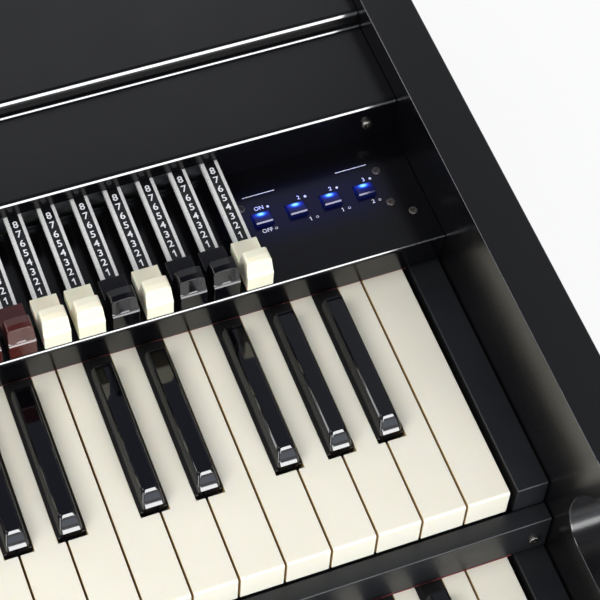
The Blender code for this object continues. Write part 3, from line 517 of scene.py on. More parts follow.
round_edges(0.00032, 4, lambda co: abs(co.x) > 0.0015 and co.y > sharp_front + 0.0057
            and co.z > sharp_foot + 0.0098)
polish(sharp)
tail = board("sharp_tail", (-0.0048, sharp_front + 0.0012, UPPER_TOP - KEY_THICKNESS),
             (0.0048, UPPER_FRONT + key_length, UPPER_TOP - 0.0005))
round_edges(0.0003, 1)
slotted(tail)
polish(tail)
skirt = board("sharp_skirt", (-0.0071, sharp_front + 0.0008, UPPER_TOP - 0.0040),
              (0.0071, UPPER_FRONT + 0.150, UPPER_TOP - 0.0008))
round_edges(0.0003, 1)
polish(skirt)


def joined(pieces):
    """Joins pieces into the first of them."""
    bpy.ops.object.select_all(action="DESELECT")
    for piece in pieces:
        piece.select_set(True)
    bpy.context.view_layer.objects.active = pieces[0]
    bpy.ops.object.join()
    return pieces[0]


joined([sharp, tail, skirt])
add_side_finish(sharp, gloss_black, fine_black,
                lambda face: abs(face.normal.x) > 0.93 or face.center.z < UPPER_TOP - 0.0004)
for index in range(35):
    note = NOTES[index % 7]
    if note in OFFSETS:
        place_keys(sharp, "sharp", f"{note.lower()}_sharp", index, (index - 17) * PITCH + OFFSETS[note],
                   (28, 33))
bpy.data.objects.remove(sharp)


# Under the keys: the bank strips that join the fixed keys, the folded steel chassis, the bed
# board, and the red felt that hushes the keys where they meet the panel and the slip.

for manual, front, top, end in (("upper", UPPER_FRONT, UPPER_TOP, 0.2268),
                                ("lower", LOWER_FRONT, LOWER_TOP, 0.3678)):
    strip = board(f"key_bank_strip_{manual}", (-0.422, front + 0.199, top - 0.0105),
                  (end, front + 0.2055, top - 0.0025))
    round_edges(0.0005, 2)
    finish(strip, ivory, stands_for=[f"{manual}_key_bank"])

# Pressed wool felt: matt, with fibres that stand a few tenths of a millimetre proud.
felt, tree, shader, coords = material("red_wool_felt", "#6a0d18", 0.95, Sheen_Weight=0.3)
fibres = clouded(tree, shader, coords, 2500.0, 3.0, "#560911", "#7e1420")
bump = node(tree, "ShaderNodeBump", {"Strength": 0.6, "Distance": 0.0003}, {"Height": fibres})
tree.links.new(bump.outputs["Normal"], shader.inputs["Normal"])
for manual, front, top in (("upper", UPPER_FRONT, UPPER_TOP), ("lower", LOWER_FRONT, LOWER_TOP)):
    strip = board(f"{manual}_felt_ribbon", (-0.4245, front + 0.1396, top + GAP),
                  (0.4245, front + 0.1457, top + 0.0011))
    round_edges(0.0003, 2)
    finish(strip, felt, stands_for=[f"{manual}_felt_strip"])

# Zinc plated sheet steel: bluish grey with a faint spangle of a few millimetres.
zinc, tree, shader, coords = material("zinc_plated_sheet_steel", "#c3c6ca", 0.35, Metallic=1.0)
spangle = node(tree, "ShaderNodeTexVoronoi", {"Scale": 250.0}, {"Vector": coords})
gloss = node(tree, "ShaderNodeMapRange", {"To Min": 0.28, "To Max": 0.45},
             {"Value": spangle.outputs["Distance"]})
tree.links.new(gloss.outputs["Result"], shader.inputs["Roughness"])


def refinish(names, coat):
    """Gives CAD nodes whose shape is right a better material."""
    for name in names:
        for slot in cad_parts[name].material_slots:
            slot.material = coat


refinish(["upper_key_chassis", "lower_key_chassis", "power_supply"], zinc)
refinish(["baseboard", "bed_board", "rear_panel"], lacquer)


# The control panel: one steel sheet folded into the recess back wall, the flat panel and the
# leaning fascia, with windows for the drawbars, and powder coated in smooth black.

powder, tree, shader, coords = material("smooth_black_powder_coat", "#070709", 0.2, IOR=1.43)
grain = node(tree, "ShaderNodeTexNoise", {"Scale": 900.0, "Detail": 2.0}, {"Vector": coords})
bump = node(tree, "ShaderNodeBump", {"Strength": 0.04, "Distance": 0.0002}, {"Height": grain.outputs["Fac"]})
tree.links.new(bump.outputs["Normal"], shader.inputs["Normal"])

# Painted glow: the panel emits a little blue round the row of buttons, strongest beside it, in place of the
# light that the lit buttons spill.
parts = node(tree, "ShaderNodeSeparateXYZ", {}, {"Vector": coords})
along = node(tree, "ShaderNodeClamp", {"Min": 0.358, "Max": 0.408}, {"Value": parts.outputs["X"]})
nearest = node(tree, "ShaderNodeCombineXYZ", {"Y": 0.0692, "Z": 0.127}, {"X": along.outputs["Result"]})
away = node(tree, "ShaderNodeVectorMath", {"operation": "DISTANCE"},
            {0: coords, 1: nearest.outputs["Vector"]})
painted_spill_glow = node(tree, "ShaderNodeMapRange",
             {"interpolation_type": "SMOOTHERSTEP", "From Max": 0.028, "To Min": 0.026, "To Max": 0.0},
             {"Value": away.outputs["Value"]})
shader.inputs["Emission Color"].default_value = linear("#141cff")
tree.links.new(painted_spill_glow.outputs["Result"], shader.inputs["Emission Strength"])


def draw_sheet(width, offset):
    """Draws the outline out along X into a sheet and thickens it to the gauge of the steel."""
    bpy.ops.mesh.select_all(action="SELECT")
    draw_out((width, 0, 0))
    bpy.ops.mesh.select_all(action="SELECT")
    bpy.ops.mesh.normals_make_consistent(inside=False)
    bpy.ops.object.mode_set(mode="OBJECT")
    sheet = bpy.context.object
    # The panel thickens away from its seen side, so its faces have to point up and forward first.
    if offset and max(sheet.data.polygons, key=lambda face: face.area).normal.z < 0:
        sheet.data.flip_normals()
    apply_modifier(sheet, "SOLIDIFY", thickness=0.0015, offset=offset, use_even_offset=True)


fold = UPPER_FRONT + 0.1368
panel = outline("folded_control_panel", -INSIDE, (wall, shelf_top - 0.0033), [
    (wall, panel_top),
    (fold + 0.0011, panel_top),
    (fold + 0.0006, panel_top - 0.00056),
    (fold, panel_top - 0.0020),
    (fold + 0.0024, UPPER_TOP + 0.0016),
    (fold + 0.0099, UPPER_TOP + 0.0016)])
draw_sheet(2 * INSIDE, -1.0)

# The places of the drawbars, nine to a set with two bass drawbars in the middle, and the buttons.
DRAWBAR_PITCH, BUTTON_PITCH = 0.0174, 0.0188
keys_end = 18 * PITCH
outer = keys_end - 0.08265
inner = outer - 17 * DRAWBAR_PITCH - 0.012
sets = [[-outer + step * DRAWBAR_PITCH for step in range(9)],
        [-inner - (8 - step) * DRAWBAR_PITCH for step in range(9)],
        [-DRAWBAR_PITCH / 2, DRAWBAR_PITCH / 2],
        [inner + step * DRAWBAR_PITCH for step in range(9)],
        [outer - (8 - step) * DRAWBAR_PITCH for step in range(9)]]
stem_top = panel_top + 0.0147
for places in sets:
    punch(panel, (places[0] - 0.0072, wall - 0.0005, panel_top + 0.0004),
          (places[-1] + 0.0072, wall + 0.01, stem_top + 0.001))
button_places = [keys_end - 0.0086 - step * BUTTON_PITCH for step in (3, 2, 1, 0)]
button_front = fold + 0.0364
for x in button_places:
    punch(panel, (x - 0.0053, button_front - 0.0004, panel_top - 0.01),
          (x + 0.0053, button_front + 0.0084, panel_top + 0.01))
finish(panel, powder, stands_for=["control_panel"])
burnish(panel, front_edge)


# The drawbars: a flat stem with a black scale printed with the numbers 1 to 8 between two
# pale edges, and a stepped knob pressed on its front end.

stem_white, tree, shader, coords = material("drawbar_stem_anodised", "#c4c5c8", 0.35)
clouded(tree, shader, coords, 900.0, 3.0, "#b3b2b0", "#eceae6")
scale_black, tree, shader, coords = material("drawbar_scale_foil", "#0e0e10", 0.28)
uneven_gloss(tree, shader, coords, 1500.0, 2.0, 0.22, 0.34)
ink, tree, shader, coords = material("white_screen_ink", "#e8e8ea", 0.5)
clouded(tree, shader, coords, 3000.0, 2.0, "#dcdcdf", "#f2f2f4")

cream = moulded("cream_abs", "#f0ebd4", "#e9e3c8", 0.30, Subsurface_Weight=0.25, Subsurface_Scale=0.003)
brown = moulded("brown_abs", "#4a1f1a", "#3c1713", 0.16)
knob_black = moulded("black_abs_knob", "#060609", "#09090d", 0.09, IOR=1.42)
KNOBS = {"brown": (brown, "brown_plastic"), "cream": (cream, "cream_plastic"),
         "black": (knob_black, "black_knob_plastic")}

# A drawbar stands 48.4 mm out at rest, which is eight steps, with 3.2 mm left before the wall.
knob_rear = wall - 0.0484 - 0.0032
knob_front = knob_rear - 0.0252
knob_foot, knob_top, step_top = panel_top + 0.0080, panel_top + 0.0276, stem_top + 0.0012
half_knob = 0.0068
knob = outline("knob_shape", -half_knob, (knob_rear, knob_foot), [
    (knob_rear, step_top - 0.0002),
    (knob_rear - 0.0120, step_top),
    (knob_front + 0.0105, knob_top - 0.0006),
    (knob_front + 0.0062, knob_top),
    (knob_front + 0.0032, knob_top - 0.0003),
    (knob_front + 0.0012, knob_top - 0.0074),
    (knob_front + 0.0007, knob_top - 0.0080),
    (knob_front + 0.0006, knob_top - 0.0085),
    (knob_front, knob_top - 0.0092),
    (knob_front, knob_foot + 0.0008),
    (knob_front + 0.0008, knob_foot)])
thicken(2 * half_knob)
for x in (-0.0048, -0.0032, -0.0016, 0, 0.0016, 0.0032, 0.0048):
    score((x, 0, 0), (1, 0, 0))
pick("VERT", lambda co: co.z > knob_top - 0.002)
bpy.ops.transform.resize(value=(0.94, 1, 1))
for reach, rise in ((0.0054, 0.0003), (0.0038, 0.0002), (0.0022, 0.0001)):
    pick("VERT", lambda co: co.z > knob_top - 0.002 and abs(co.x) < reach)
    bpy.ops.transform.translate(value=(0, 0, rise))
round_edges(0.0012, 4, lambda co: abs(co.x) > 0.0058 and co.z > knob_top - 0.0015)
round_edges(0.00035, 4,
            lambda co: co.y > knob_front + 0.002 or not knob_top - 0.0096 < co.z < knob_top - 0.0070)
polish(knob, 25)

stem = board("stem_shape", (-0.0046, knob_front + 0.016, stem_top - 0.0032),
             (0.0046, wall + 0.0662, stem_top))
round_edges(0.0004, 2)
polish(stem)
scale = board("scale_shape", (-0.0026, knob_rear - 0.004, stem_top - 0.0001),
              (0.0028, wall + 0.0660, stem_top + 0.00005))
round_edges(0.00002, 1)
bpy.ops.object.mode_set(mode="OBJECT")

# The ink reaches this far under and over the surface that it is printed on.
INK_DEPTH, INK_RISE = 0.00003, 0.00004


def lettering(name, text, size, place, weight):
    """Printed characters as a thin mesh, centred on a place."""
    bpy.ops.object.select_all(action="DESELECT")
    bpy.ops.object.text_add(location=place)
    made = bpy.context.object
    made.data.body = text
    made.data.size = size
    made.data.align_x = "CENTER"
    made.data.align_y = "CENTER"
    made.data.extrude = INK_DEPTH
    made.data.offset = weight
    made.data.resolution_u = 3
    bpy.ops.object.convert(target="MESH")
    made = bpy.context.object
    made.name = made.data.name = name
    bpy.ops.object.transform_apply(location=True, rotation=True, scale=True)
    return made


def figure_one(name, place, height):
    """A printed 1 with a flag, which the typeface at hand draws as a bare stroke."""
    x, y, z = place
    stroke, rise = height * 0.15, height / 2
    flag_foot, flag_top = y + rise * 0.42, y + rise * 0.80
    made = board(name, (x - stroke * 0.2, y - rise, z - INK_DEPTH),
                 (x + stroke * 0.8, y + rise, z + INK_RISE))
    for level in (flag_foot, flag_top):
        score((0, level, 0), (0, 1, 0))
    pick("FACE", lambda co: co.x < x - stroke * 0.19 and flag_foot < co.y < flag_top)
    draw_out((-height * 0.20, -height * 0.10, 0))
    bpy.ops.object.mode_set(mode="OBJECT")
    return made


digits = []
for number in range(1, 9):
    place = (0, UPPER_FRONT + 0.1623 + (number - 1) * 0.0060, stem_top + 0.00006)
    if number == 1:
        digits.append(figure_one("digit_1", place, 0.0042))
    else:
        digits.append(lettering(f"digit_{number}", str(number), 0.0058, place, 0.00006))
numbers = joined(digits)

tones = ["brown", "brown", "cream", "cream", "black", "cream", "black", "black", "cream"]
for set_number, places in enumerate(sets):
    for step, x in enumerate(places):
        body, name, stands_for = "case", f"set{set_number + 1}_bar{step + 1}", []
        if set_number == 4:
            body = name = f"drawbar_{step + 1}"
            stands_for = [body]
        plastic, slot = KNOBS["brown" if len(places) == 2 else tones[step]]
        copied(knob, name + "_knob", (x, 0, 0), plastic, body, stands_for)
        copied(stem, name + "_stem", (x, 0, 0), stem_white, body)
        copied(scale, name + "_scale", (x, 0, 0), scale_black, body)
        copied(numbers, name + "_numbers", (x, 0, 0), ink, body)
for shape in (knob, stem, scale, numbers):
    bpy.data.objects.remove(shape)

# The channel behind the wall that guides the stems: folded from plated sheet, its two walls slotted.
guide_front, guide_rear, guide_top = wall + 0.0067, wall + 0.0527, stem_top + 0.0010
guide_end = outer + DRAWBAR_PITCH
guide = outline("drawbar_guide", -guide_end, (guide_front, guide_top), [
    (guide_front, bed_top + GAP), (guide_rear, bed_top + GAP), (guide_rear, guide_top)])
draw_sheet(2 * guide_end, 0.0)
for places in sets:
    punch(guide, (places[0] - 0.0049, guide_front - 0.005, stem_top - 0.0035),
          (places[-1] + 0.0049, guide_rear + 0.005, stem_top + 0.005))
finish(guide, zinc, stands_for=["drawbar_frame"])


# The screws: blackened steel with a low domed head and a cross slot. They hold the panel to the
# end blocks and the wall, the slips to the blocks, and the rear panel and baseboard to the case.

black_steel, tree, shader, coords = material("blackened_steel_screw", "#5a5450", 0.45, Metallic=0.6)
clouded(tree, shader, coords, 1200.0, 3.0, "#4a4542", "#6c6560")

# The screws of the wall and the slips are darker, with a rough oxide that glints in specks.
oxide_black, tree, shader, coords = material("black_oxide_screw", "#8a8682", 0.25, Metallic=1.0)
specks = node(tree, "ShaderNodeTexNoise", {"Scale": 1600.0, "Detail": 2.0}, {"Vector": coords})
bump = node(tree, "ShaderNodeBump", {"Strength": 0.8, "Distance": 0.0003}, {"Height": specks.outputs["Fac"]})
tree.links.new(bump.outputs["Normal"], shader.inputs["Normal"])


def disc(name, sides, radius, depth, place=(0, 0, 0), turn=0):
    """A disc: a cylinder primitive at its size and place, turned about X, open for editing."""
    bpy.ops.object.select_all(action="DESELECT")
    bpy.ops.mesh.primitive_cylinder_add(vertices=sides, radius=radius, depth=depth, location=place,
                                        rotation=(math.radians(turn), 0, 0))
    return begin(name)


screw = disc("screw_shape", 32, 0.0023, 0.0009, (0, 0, 0.00045))
round_edges(0.0006, 4, lambda co: co.z > 0.0008)
bpy.ops.object.mode_set(mode="OBJECT")
for wide, deep in ((0.0016, 0.00034), (0.00034, 0.0016)):
    punch(screw, (-wide, -deep, 0.0002), (wide, deep, 0.002))
polish(screw)
screw.data.materials.append(black_steel)


def drive(name, place, turn, twist, width=1.0, height=1.0, coating=None):
    """A screw with its head on a surface, turned about X from facing up."""
    made = copied(screw, name, (0, 0, 0), coating)
    head = Matrix.Rotation(math.radians(turn), 4, "X") @ Matrix.Rotation(math.radians(twist), 4, "Z")
    made.data.transform(Matrix.Translation(place) @ head @ Matrix.Diagonal((width, width, height, 1.0)))


for side, word in ((1, "right"), (-1, "left")):
    drive(f"panel_screw_rear_{word}", (side * 0.4249, 0.07925, panel_top), 0, 35)
    drive(f"panel_screw_front_{word}", (side * 0.4246, 0.05825, panel_top), 0, 10)
    drive(f"panel_screw_corner_{word}", (side * 0.4336, 0.04945, panel_top), 0, 60)
    drive(f"panel_screw_inner_{word}", (side * 0.3498, 0.0789, panel_top), 0, 25)
    drive(f"wall_screw_{word}", (side * 0.4275, wall, 0.1487), 90, 15, 1.35, 2.4, oxide_black)
    drive(f"slip_screw_upper_{word}", (side * 0.4356, UPPER_FRONT - slip_front, 0.0756), 90, 40, 1.35, 1.5,
          oxide_black)
    drive(f"slip_screw_front_{word}", (side * 0.4356, LOWER_FRONT - slip_front, 0.0300), 90, 5, 1.35, 1.5,
          oxide_black)


# The push buttons: dark blue translucent caps that slope down to the rear, each with a small, faint
# lamp behind its middle. The glow in the caps and on the panel round them is painted glow: emission in their
# materials in place of the lamps' light.

cap_blue, tree, shader, coords = material("blue_tinted_acrylic", "#060926", 0.10,
                                          Specular_Tint=(0.85, 0.82, 1.0, 1.0), Emission_Strength=1.3)
# Painted glow: each cap emits light that is brightest over its lamp and fades to dark blue towards its
# edges.
shift = node(tree, "ShaderNodeMapping", {"Location": (-button_places[0], -(button_front + 0.0064), 0)},
             {"Vector": coords})
split = node(tree, "ShaderNodeSeparateXYZ", {}, {"Vector": shift.outputs["Vector"]})
across = node(tree, "ShaderNodeMath", {"operation": "WRAP", 1: -BUTTON_PITCH / 2, 2: BUTTON_PITCH / 2},
              {0: split.outputs["X"]})
squash = node(tree, "ShaderNodeMath", {"operation": "MULTIPLY", 1: 0.62}, {0: across.outputs["Value"]})
spot = node(tree, "ShaderNodeCombineXYZ", {}, {"X": squash.outputs["Value"], "Y": split.outputs["Y"]})
reach = node(tree, "ShaderNodeVectorMath", {"operation": "LENGTH"}, {0: spot.outputs["Vector"]})
far = node(tree, "ShaderNodeMapRange", {"From Max": 0.0056}, {"Value": reach.outputs["Value"]})
painted_lamp_glow = node(tree, "ShaderNodeValToRGB", {}, {"Fac": far.outputs["Result"]})
ramp = painted_lamp_glow.color_ramp
ramp.elements[0].color = linear("#c8f4ff")
ramp.elements[1].color = linear("#030726")
for place, code in ((0.14, "#74ccff"), (0.27, "#1450d8"), (0.40, "#08188c"), (0.58, "#050c48")):
    ramp.elements.new(place).color = linear(code)
tree.links.new(painted_lamp_glow.outputs["Color"], shader.inputs["Emission Color"])

half_cap, cap_rear = 0.0049, button_front + 0.0080
for number, x in enumerate(button_places):
    button = f"percussion_button_{number + 1}"
    cap = board(f"lit_button_{number + 1}", (x - half_cap, button_front, panel_top - 0.0040),
                (x + half_cap, cap_rear, panel_top + 0.0034))
    score((0, button_front + 0.0006, 0), (0, 1, 0))
    pick("VERT", lambda co: co.z > panel_top and co.y > button_front + 0.004)
    bpy.ops.transform.translate(value=(0, 0, -0.0022))
    pick("VERT", lambda co: co.z > panel_top and co.y < button_front + 0.0003)
    bpy.ops.transform.translate(value=(0, 0, -0.00071))
    round_edges(0.0006, 4, lambda co: abs(co.x - x) > 0.004 or co.y > button_front + 0.006)
    finish(cap, cap_blue, button, [button])
    bpy.ops.object.light_add(type="POINT", location=(x, cap_rear, panel_top + 0.0100))
    lamp = bpy.context.object.data
    lamp.energy = 0.004
    lamp.color = (0.04, 0.12, 1.0)
    lamp.shadow_soft_size = 0.0015
    bpy.context.object.visible_glossy = False


# The printing on the panel: fine white lines, and a dot for one position of each button and a
# ring for the other, screen printed over the powder coat.

def joined_print(name, marks):
    """Joins printed marks into one piece of ink on the panel."""
    made = joined(marks)
    made.name = made.data.name = name
    cover(made, ink)
    fix(made, "case")


def printed_dot(x, y, radius):
    """A printed dot: a disc with the thickness of the ink."""
    made = disc("printed_dot", 20, radius, 2 * INK_DEPTH, (x, y, panel_top))
    bpy.ops.object.mode_set(mode="OBJECT")
    return made


def printed_ring(x, y, radius, line):
    """A printed ring: a torus pressed flat."""
    bpy.ops.object.select_all(action="DESELECT")
    bpy.ops.mesh.primitive_torus_add(major_radius=radius, minor_radius=line / 2, major_segments=24,
                                     minor_segments=6, location=(x, y, panel_top))
    bpy.context.object.scale.z = 0.3
    made = begin("printed_ring")
    bpy.ops.object.mode_set(mode="OBJECT")
    return made


def printed_line(low, high):
    """A printed line between two corners on the panel."""
    made = board("printed_line", (*low, panel_top - INK_DEPTH), (*high, panel_top + INK_RISE))
    bpy.ops.object.mode_set(mode="OBJECT")
    return made


marks = [printed_line((0.3526, 0.08483), (0.3703, 0.08528)),
         printed_line((0.4041, 0.08463), (0.4215, 0.08508))]
# Each button's dot and ring, from the right-hand end of the keys and their front.
positions = ((-0.0595, 0.1842, -0.0599, 0.1700), (-0.0390, 0.1840, -0.0375, 0.1698),
             (-0.0214, 0.1839, -0.0199, 0.1698), (-0.0029, 0.1838, -0.0030, 0.1695))
words = (("ON", "OFF"), ("2", "1"), ("2", "1"), ("3", "2"))
for (dot_x, dot_y, ring_x, ring_y), (above, below) in zip(positions, words):
    dot, ring = (dot_x + keys_end, dot_y + UPPER_FRONT), (ring_x + keys_end, ring_y + UPPER_FRONT)
    marks.append(printed_dot(*dot, 0.00072))
    marks.append(printed_ring(*ring, 0.00062, 0.00022))
    aside = 0.0048 if above == "ON" else 0.0036
    place = (dot[0] - aside, dot[1] + 0.0003, panel_top)
    marks.append(lettering("print_above", above, 0.0033, place, 0.00004))
    place = (ring[0] - aside, ring[1], panel_top)
    if below == "1":
        marks.append(figure_one("print_below", place, 0.0024))
    else:
        marks.append(lettering("print_below", below, 0.0033, place, 0.00004))
joined_print("button_print", marks)


# The volume knob: moulded in black ABS with a fluted grip, and with a white pointer that turns
# over a dial of eleven printed dots, the even ones numbered up to 8.

volume_x, volume_y = -0.387, fold + 0.0382
grip_top = panel_top + 0.0150
grip = disc("volume_grip", 64, 0.0095, 0.0147, (volume_x, volume_y, grip_top - 0.0147 / 2))
for height in (0.0035, 0.0045):
    score((0, 0, panel_top + height), (0, 0, 1))
pick("VERT", lambda co: co.z > panel_top + 0.0040)
bpy.ops.transform.resize(value=(0.94, 0.94, 1))
pick("VERT", lambda co: co.z > panel_top + 0.0100)
bpy.ops.transform.resize(value=(0.93, 0.93, 1))


def in_flute(co):
    """Tells the points of the grip that lie in one of its eight flutes."""
    turn = math.degrees(math.atan2(co.y - volume_y, co.x - volume_x)) % 45
    return co.z > panel_top + 0.0040 and abs(turn - 22.5) < 7


pick("VERT", in_flute)
bpy.ops.transform.resize(value=(0.90, 0.90, 1))
pick("FACE", lambda co: co.z > grip_top - 0.0001)
bpy.ops.mesh.inset(thickness=0.0012)
bpy.ops.transform.translate(value=(0, 0, -0.0004))
round_edges(0.0004, 2, lambda co: co.z > grip_top - 0.0010)
finish(grip, knob_black, "volume_knob", ["volume_knob"])
pointer = board("volume_pointer", (volume_x - 0.0004, volume_y + 0.0020, grip_top - 0.0006),
                (volume_x + 0.0004, volume_y + 0.0068, grip_top - 0.0002))
round_edges(0.0001, 1)
finish(pointer, ink, "volume_knob")
marks = []
for number in range(11):
    turn = math.radians(240 - 30 * number)
    place = Vector((math.cos(turn), math.sin(turn)))
    x, y = Vector((volume_x, volume_y)) + place * 0.0122
    marks.append(printed_dot(x, y, 0.00045))
    x, y = Vector((volume_x, volume_y)) + place * 0.0155
    if number in (0, 2, 4, 6, 8):
        marks.append(lettering("dial_number", str(number), 0.0030, (x, y, panel_top), 0.00004))
joined_print("volume_dial_print", marks)


# The feet: moulded in black rubber, hollow underneath, and each held by one screw through its
# middle. Rubber keeps a faint bloom from the mould.

rubber, tree, shader, coords = material("moulded_black_rubber", "#161616", 0.8)
bloom = clouded(tree, shader, coords, 220.0, 4.0, "#121212", "#1f1f20")
bump = node(tree, "ShaderNodeBump", {"Strength": 0.3, "Distance": 0.0002}, {"Height": bloom})
tree.links.new(bump.outputs["Normal"], shader.inputs["Normal"])

foot_height, foot_hollow = underside - GAP, 0.0045
foot_shape = disc("foot_shape", 48, 0.0170, foot_height, (0, 0, foot_height / 2))
pick("VERT", lambda co: co.z < 0.001)
bpy.ops.transform.resize(value=(0.86, 0.86, 1))
pick("FACE", lambda co: co.z < 0.001)
bpy.ops.mesh.inset(thickness=0.0055)
draw_out((0, 0, foot_hollow))
round_edges(0.0012, 3, lambda co: co.z < 0.001)
polish(foot_shape)
foot_shape.data.materials.append(rubber)
corners = (("front_left", -1, -1), ("front_right", 1, -1), ("rear_left", -1, 1), ("rear_right", 1, 1))
for word, x, y in corners:
    place = (x * (INSIDE - 0.060), y * 0.210, 0)
    copied(foot_shape, f"rubber_foot_{word}", place, stands_for=[f"foot_{word}"])
    drive(f"foot_screw_{word}", (place[0], place[1], foot_hollow), 180, 30)
bpy.data.objects.remove(foot_shape)


# The circuit boards: glass fibre sheets with etched copper under green solder mask. The copper
# shows through as fine lighter traces, here in runs about two millimetres apart.

board_green, tree, shader, coords = material("green_solder_mask", "#0d4a25", 0.35)
traces = node(tree, "ShaderNodeTexBrick", {"Color1": linear("#0b4221"), "Color2": linear("#0e4d27"),
                                           "Mortar": linear("#1f7a43"), "Scale": 1.0, "Mortar Size": 0.00035,
                                           "Brick Width": 0.012, "Row Height": 0.0022}, {"Vector": coords})
tree.links.new(traces.outputs["Color"], shader.inputs["Base Color"])
refinish(["main_board", "button_board"], board_green)


# The rear connector plate: plated steel with nuts on the jack sockets, a lined mains inlet with
# three pins, and a rocker switch in its frame.

refinish(["connector_plate"], zinc)
plate_x, plate_y, plate_z = 0.230, 0.2768, 0.075
nut = disc("jack_nut_shape", 6, 0.0082, 0.0011, turn=90)
round_edges(0.0003, 2)
bpy.ops.object.mode_set(mode="OBJECT")
bore = disc("jack_nut_bore", 32, 0.0063, 0.004, turn=90)
bpy.ops.object.mode_set(mode="OBJECT")
apply_modifier(nut, "BOOLEAN", operation="DIFFERENCE", object=bore, solver="EXACT")
bpy.data.objects.remove(bore)
polish(nut)
nut.data.materials.append(zinc)
for number in range(4):
    place = (plate_x - 0.100 + number * 0.024, plate_y + 0.0006, plate_z)
    copied(nut, f"jack_nut_{number + 1}", place)
bpy.data.objects.remove(nut)

inlet_x, switch_x = plate_x + 0.090, plate_x + 0.046
liner = board("mains_inlet_liner", (inlet_x - 0.0134, plate_y - 0.0175, plate_z - 0.0099),
              (inlet_x + 0.0134, plate_y + 0.0012, plate_z + 0.0099))
pick("FACE", lambda co: co.y > plate_y)
bpy.ops.mesh.inset(thickness=0.0012)
draw_out((0, -0.0160, 0))
round_edges(0.0003, 2, lambda co: co.y > plate_y)
finish(liner, knob_black)
for number, (x, z) in enumerate(((-0.0070, -0.0020), (0, 0.0020), (0.0070, -0.0020))):
    pin = board(f"mains_pin_{number + 1}", (inlet_x + x - 0.0010, plate_y - 0.0150, plate_z + z - 0.0020),
                (inlet_x + x + 0.0010, plate_y - 0.0030, plate_z + z + 0.0020))
    round_edges(0.0004, 2)
    finish(pin, zinc)

rim = board("switch_frame", (switch_x - 0.0085, plate_y - 0.0002, plate_z - 0.0125),
            (switch_x + 0.0085, plate_y + 0.0010, plate_z + 0.0125))
round_edges(0.0004, 2)
bpy.ops.object.mode_set(mode="OBJECT")
punch(rim, (switch_x - 0.0069, plate_y - 0.002, plate_z - 0.0104),
      (switch_x + 0.0069, plate_y + 0.004, plate_z + 0.0104))
finish(rim, knob_black)
hinge_y = plate_y - 0.0020
rocker = outline("power_rocker", switch_x - 0.0065, (hinge_y - 0.0050, plate_z - 0.0080), [
    (hinge_y + 0.0024, plate_z - 0.0092),
    (hinge_y + 0.0012, plate_z),
    (hinge_y + 0.0036, plate_z + 0.0092),
    (hinge_y - 0.0050, plate_z + 0.0080)])
thicken(0.0130)
round_edges(0.0006, 3)
finish(rocker, knob_black, "power_switch", ["power_switch"])
line = outline("rocker_line", switch_x - 0.0004, (hinge_y + 0.0017, plate_z + 0.0025), [
    (hinge_y + 0.0019, plate_z + 0.0025),
    (hinge_y + 0.0030, plate_z + 0.0065),
    (hinge_y + 0.0028, plate_z + 0.0065)])
thicken(0.0008)
finish(line, ink, "power_switch")

for x, word in ((-0.113, "left"), (0.113, "right")):
    for z, level in ((-0.018, "lower"), (0.018, "upper")):
        drive(f"plate_screw_{level}_{word}", (plate_x + x, plate_y, plate_z + z), -90, 25)
rear_low, rear_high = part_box("rear_panel")
for number in range(6):
    x = -0.4250 + number * 0.17
    for z, level in ((rear_low[2] + 0.008, "lower"), (rear_high[2] - 0.008, "upper")):
        drive(f"rear_screw_{level}_{number + 1}", (x, CASE_REAR, z), -90, 35 + 20 * number)
    for y, word in ((-0.262, "front"), (0.262, "rear")):
        drive(f"base_screw_{word}_{number + 1}", (x, y, underside), 180, 15 + 25 * number)
bpy.data.objects.remove(screw)


# The studio: a pale floor that looks white to the camera, soft lamps from the front and above,
# and the camera over the right-hand end of the upper manual.

bpy.ops.object.select_all(action="DESELECT")
bpy.ops.mesh.primitive_plane_add(size=12, location=(0, 0, 0))
floor = bpy.context.object
floor.name = floor.data.name = "studio_floor"
paper, tree, shader, coords = material("white_paper_floor", "#e8e8e8", 0.9)
clouded(tree, shader, coords, 400.0, 3.0, "#e5e5e5", "#ebebeb")
path = node(tree, "ShaderNodeLightPath", {}, {})
white = node(tree, "ShaderNodeEmission", {"Color": (1, 1, 1, 1), "Strength": 1.0}, {})
seen = node(tree, "ShaderNodeMath", {"operation": "ADD"},
            {0: path.outputs["Is Camera Ray"], 1: path.outputs["Is Transmission Ray"]})
share = node(tree, "ShaderNodeMath", {"operation": "MULTIPLY", 1: 0.9, "use_clamp": True},
             {0: seen.outputs["Value"]})
mixed = node(tree, "ShaderNodeMixShader", {},
             {0: share.outputs["Value"], 1: shader.outputs["BSDF"], 2: white.outputs["Emission"]})
tree.links.new(mixed.outputs["Shader"], tree.nodes["Material Output"].inputs["Surface"])
floor.data.materials.append(paper)


def softbox(name, place, aim, size, energy, tint=(1.0, 1.0, 1.0)):
    """A rectangular lamp at a place, turned to face a point."""
    data = bpy.data.lights.new(name, "AREA")
    data.shape = "RECTANGLE"
    data.size, data.size_y = size
    data.energy = energy
    data.color = tint
    made = bpy.data.objects.new(name, data)
    facing = (Vector(place) - Vector(aim)).to_track_quat("Z", "Y")
    made.matrix_world = Matrix.Translation(place) @ facing.to_matrix().to_4x4()
    bpy.context.scene.collection.objects.link(made)


target = (0.3, 0, 0.12)
softbox("front_window", (0.59, -2.14, 1.17), target, (1.4, 0.85), 50)
softbox("front_daylight", (0.6, -2.4, 0.33), target, (1.8, 0.4), 1.6, (0.5, 0.68, 1.0))
softbox("left_window", (-1.1, -0.22, 1.8), target, (1.2, 1.2), 26)
softbox("left_strip", (-1.42, -1.32, 0.42), target, (0.35, 0.9), 8)
softbox("rear_left_strip", (-1.13, 0.91, 0.70), (0.43, 0, 0.15), (0.85, 0.6), 6.4)
softbox("rear_reflector", (-0.25, 1.6, 1.8), (-0.25, 0, 1.8), (2.7, 1.05), 4.9)

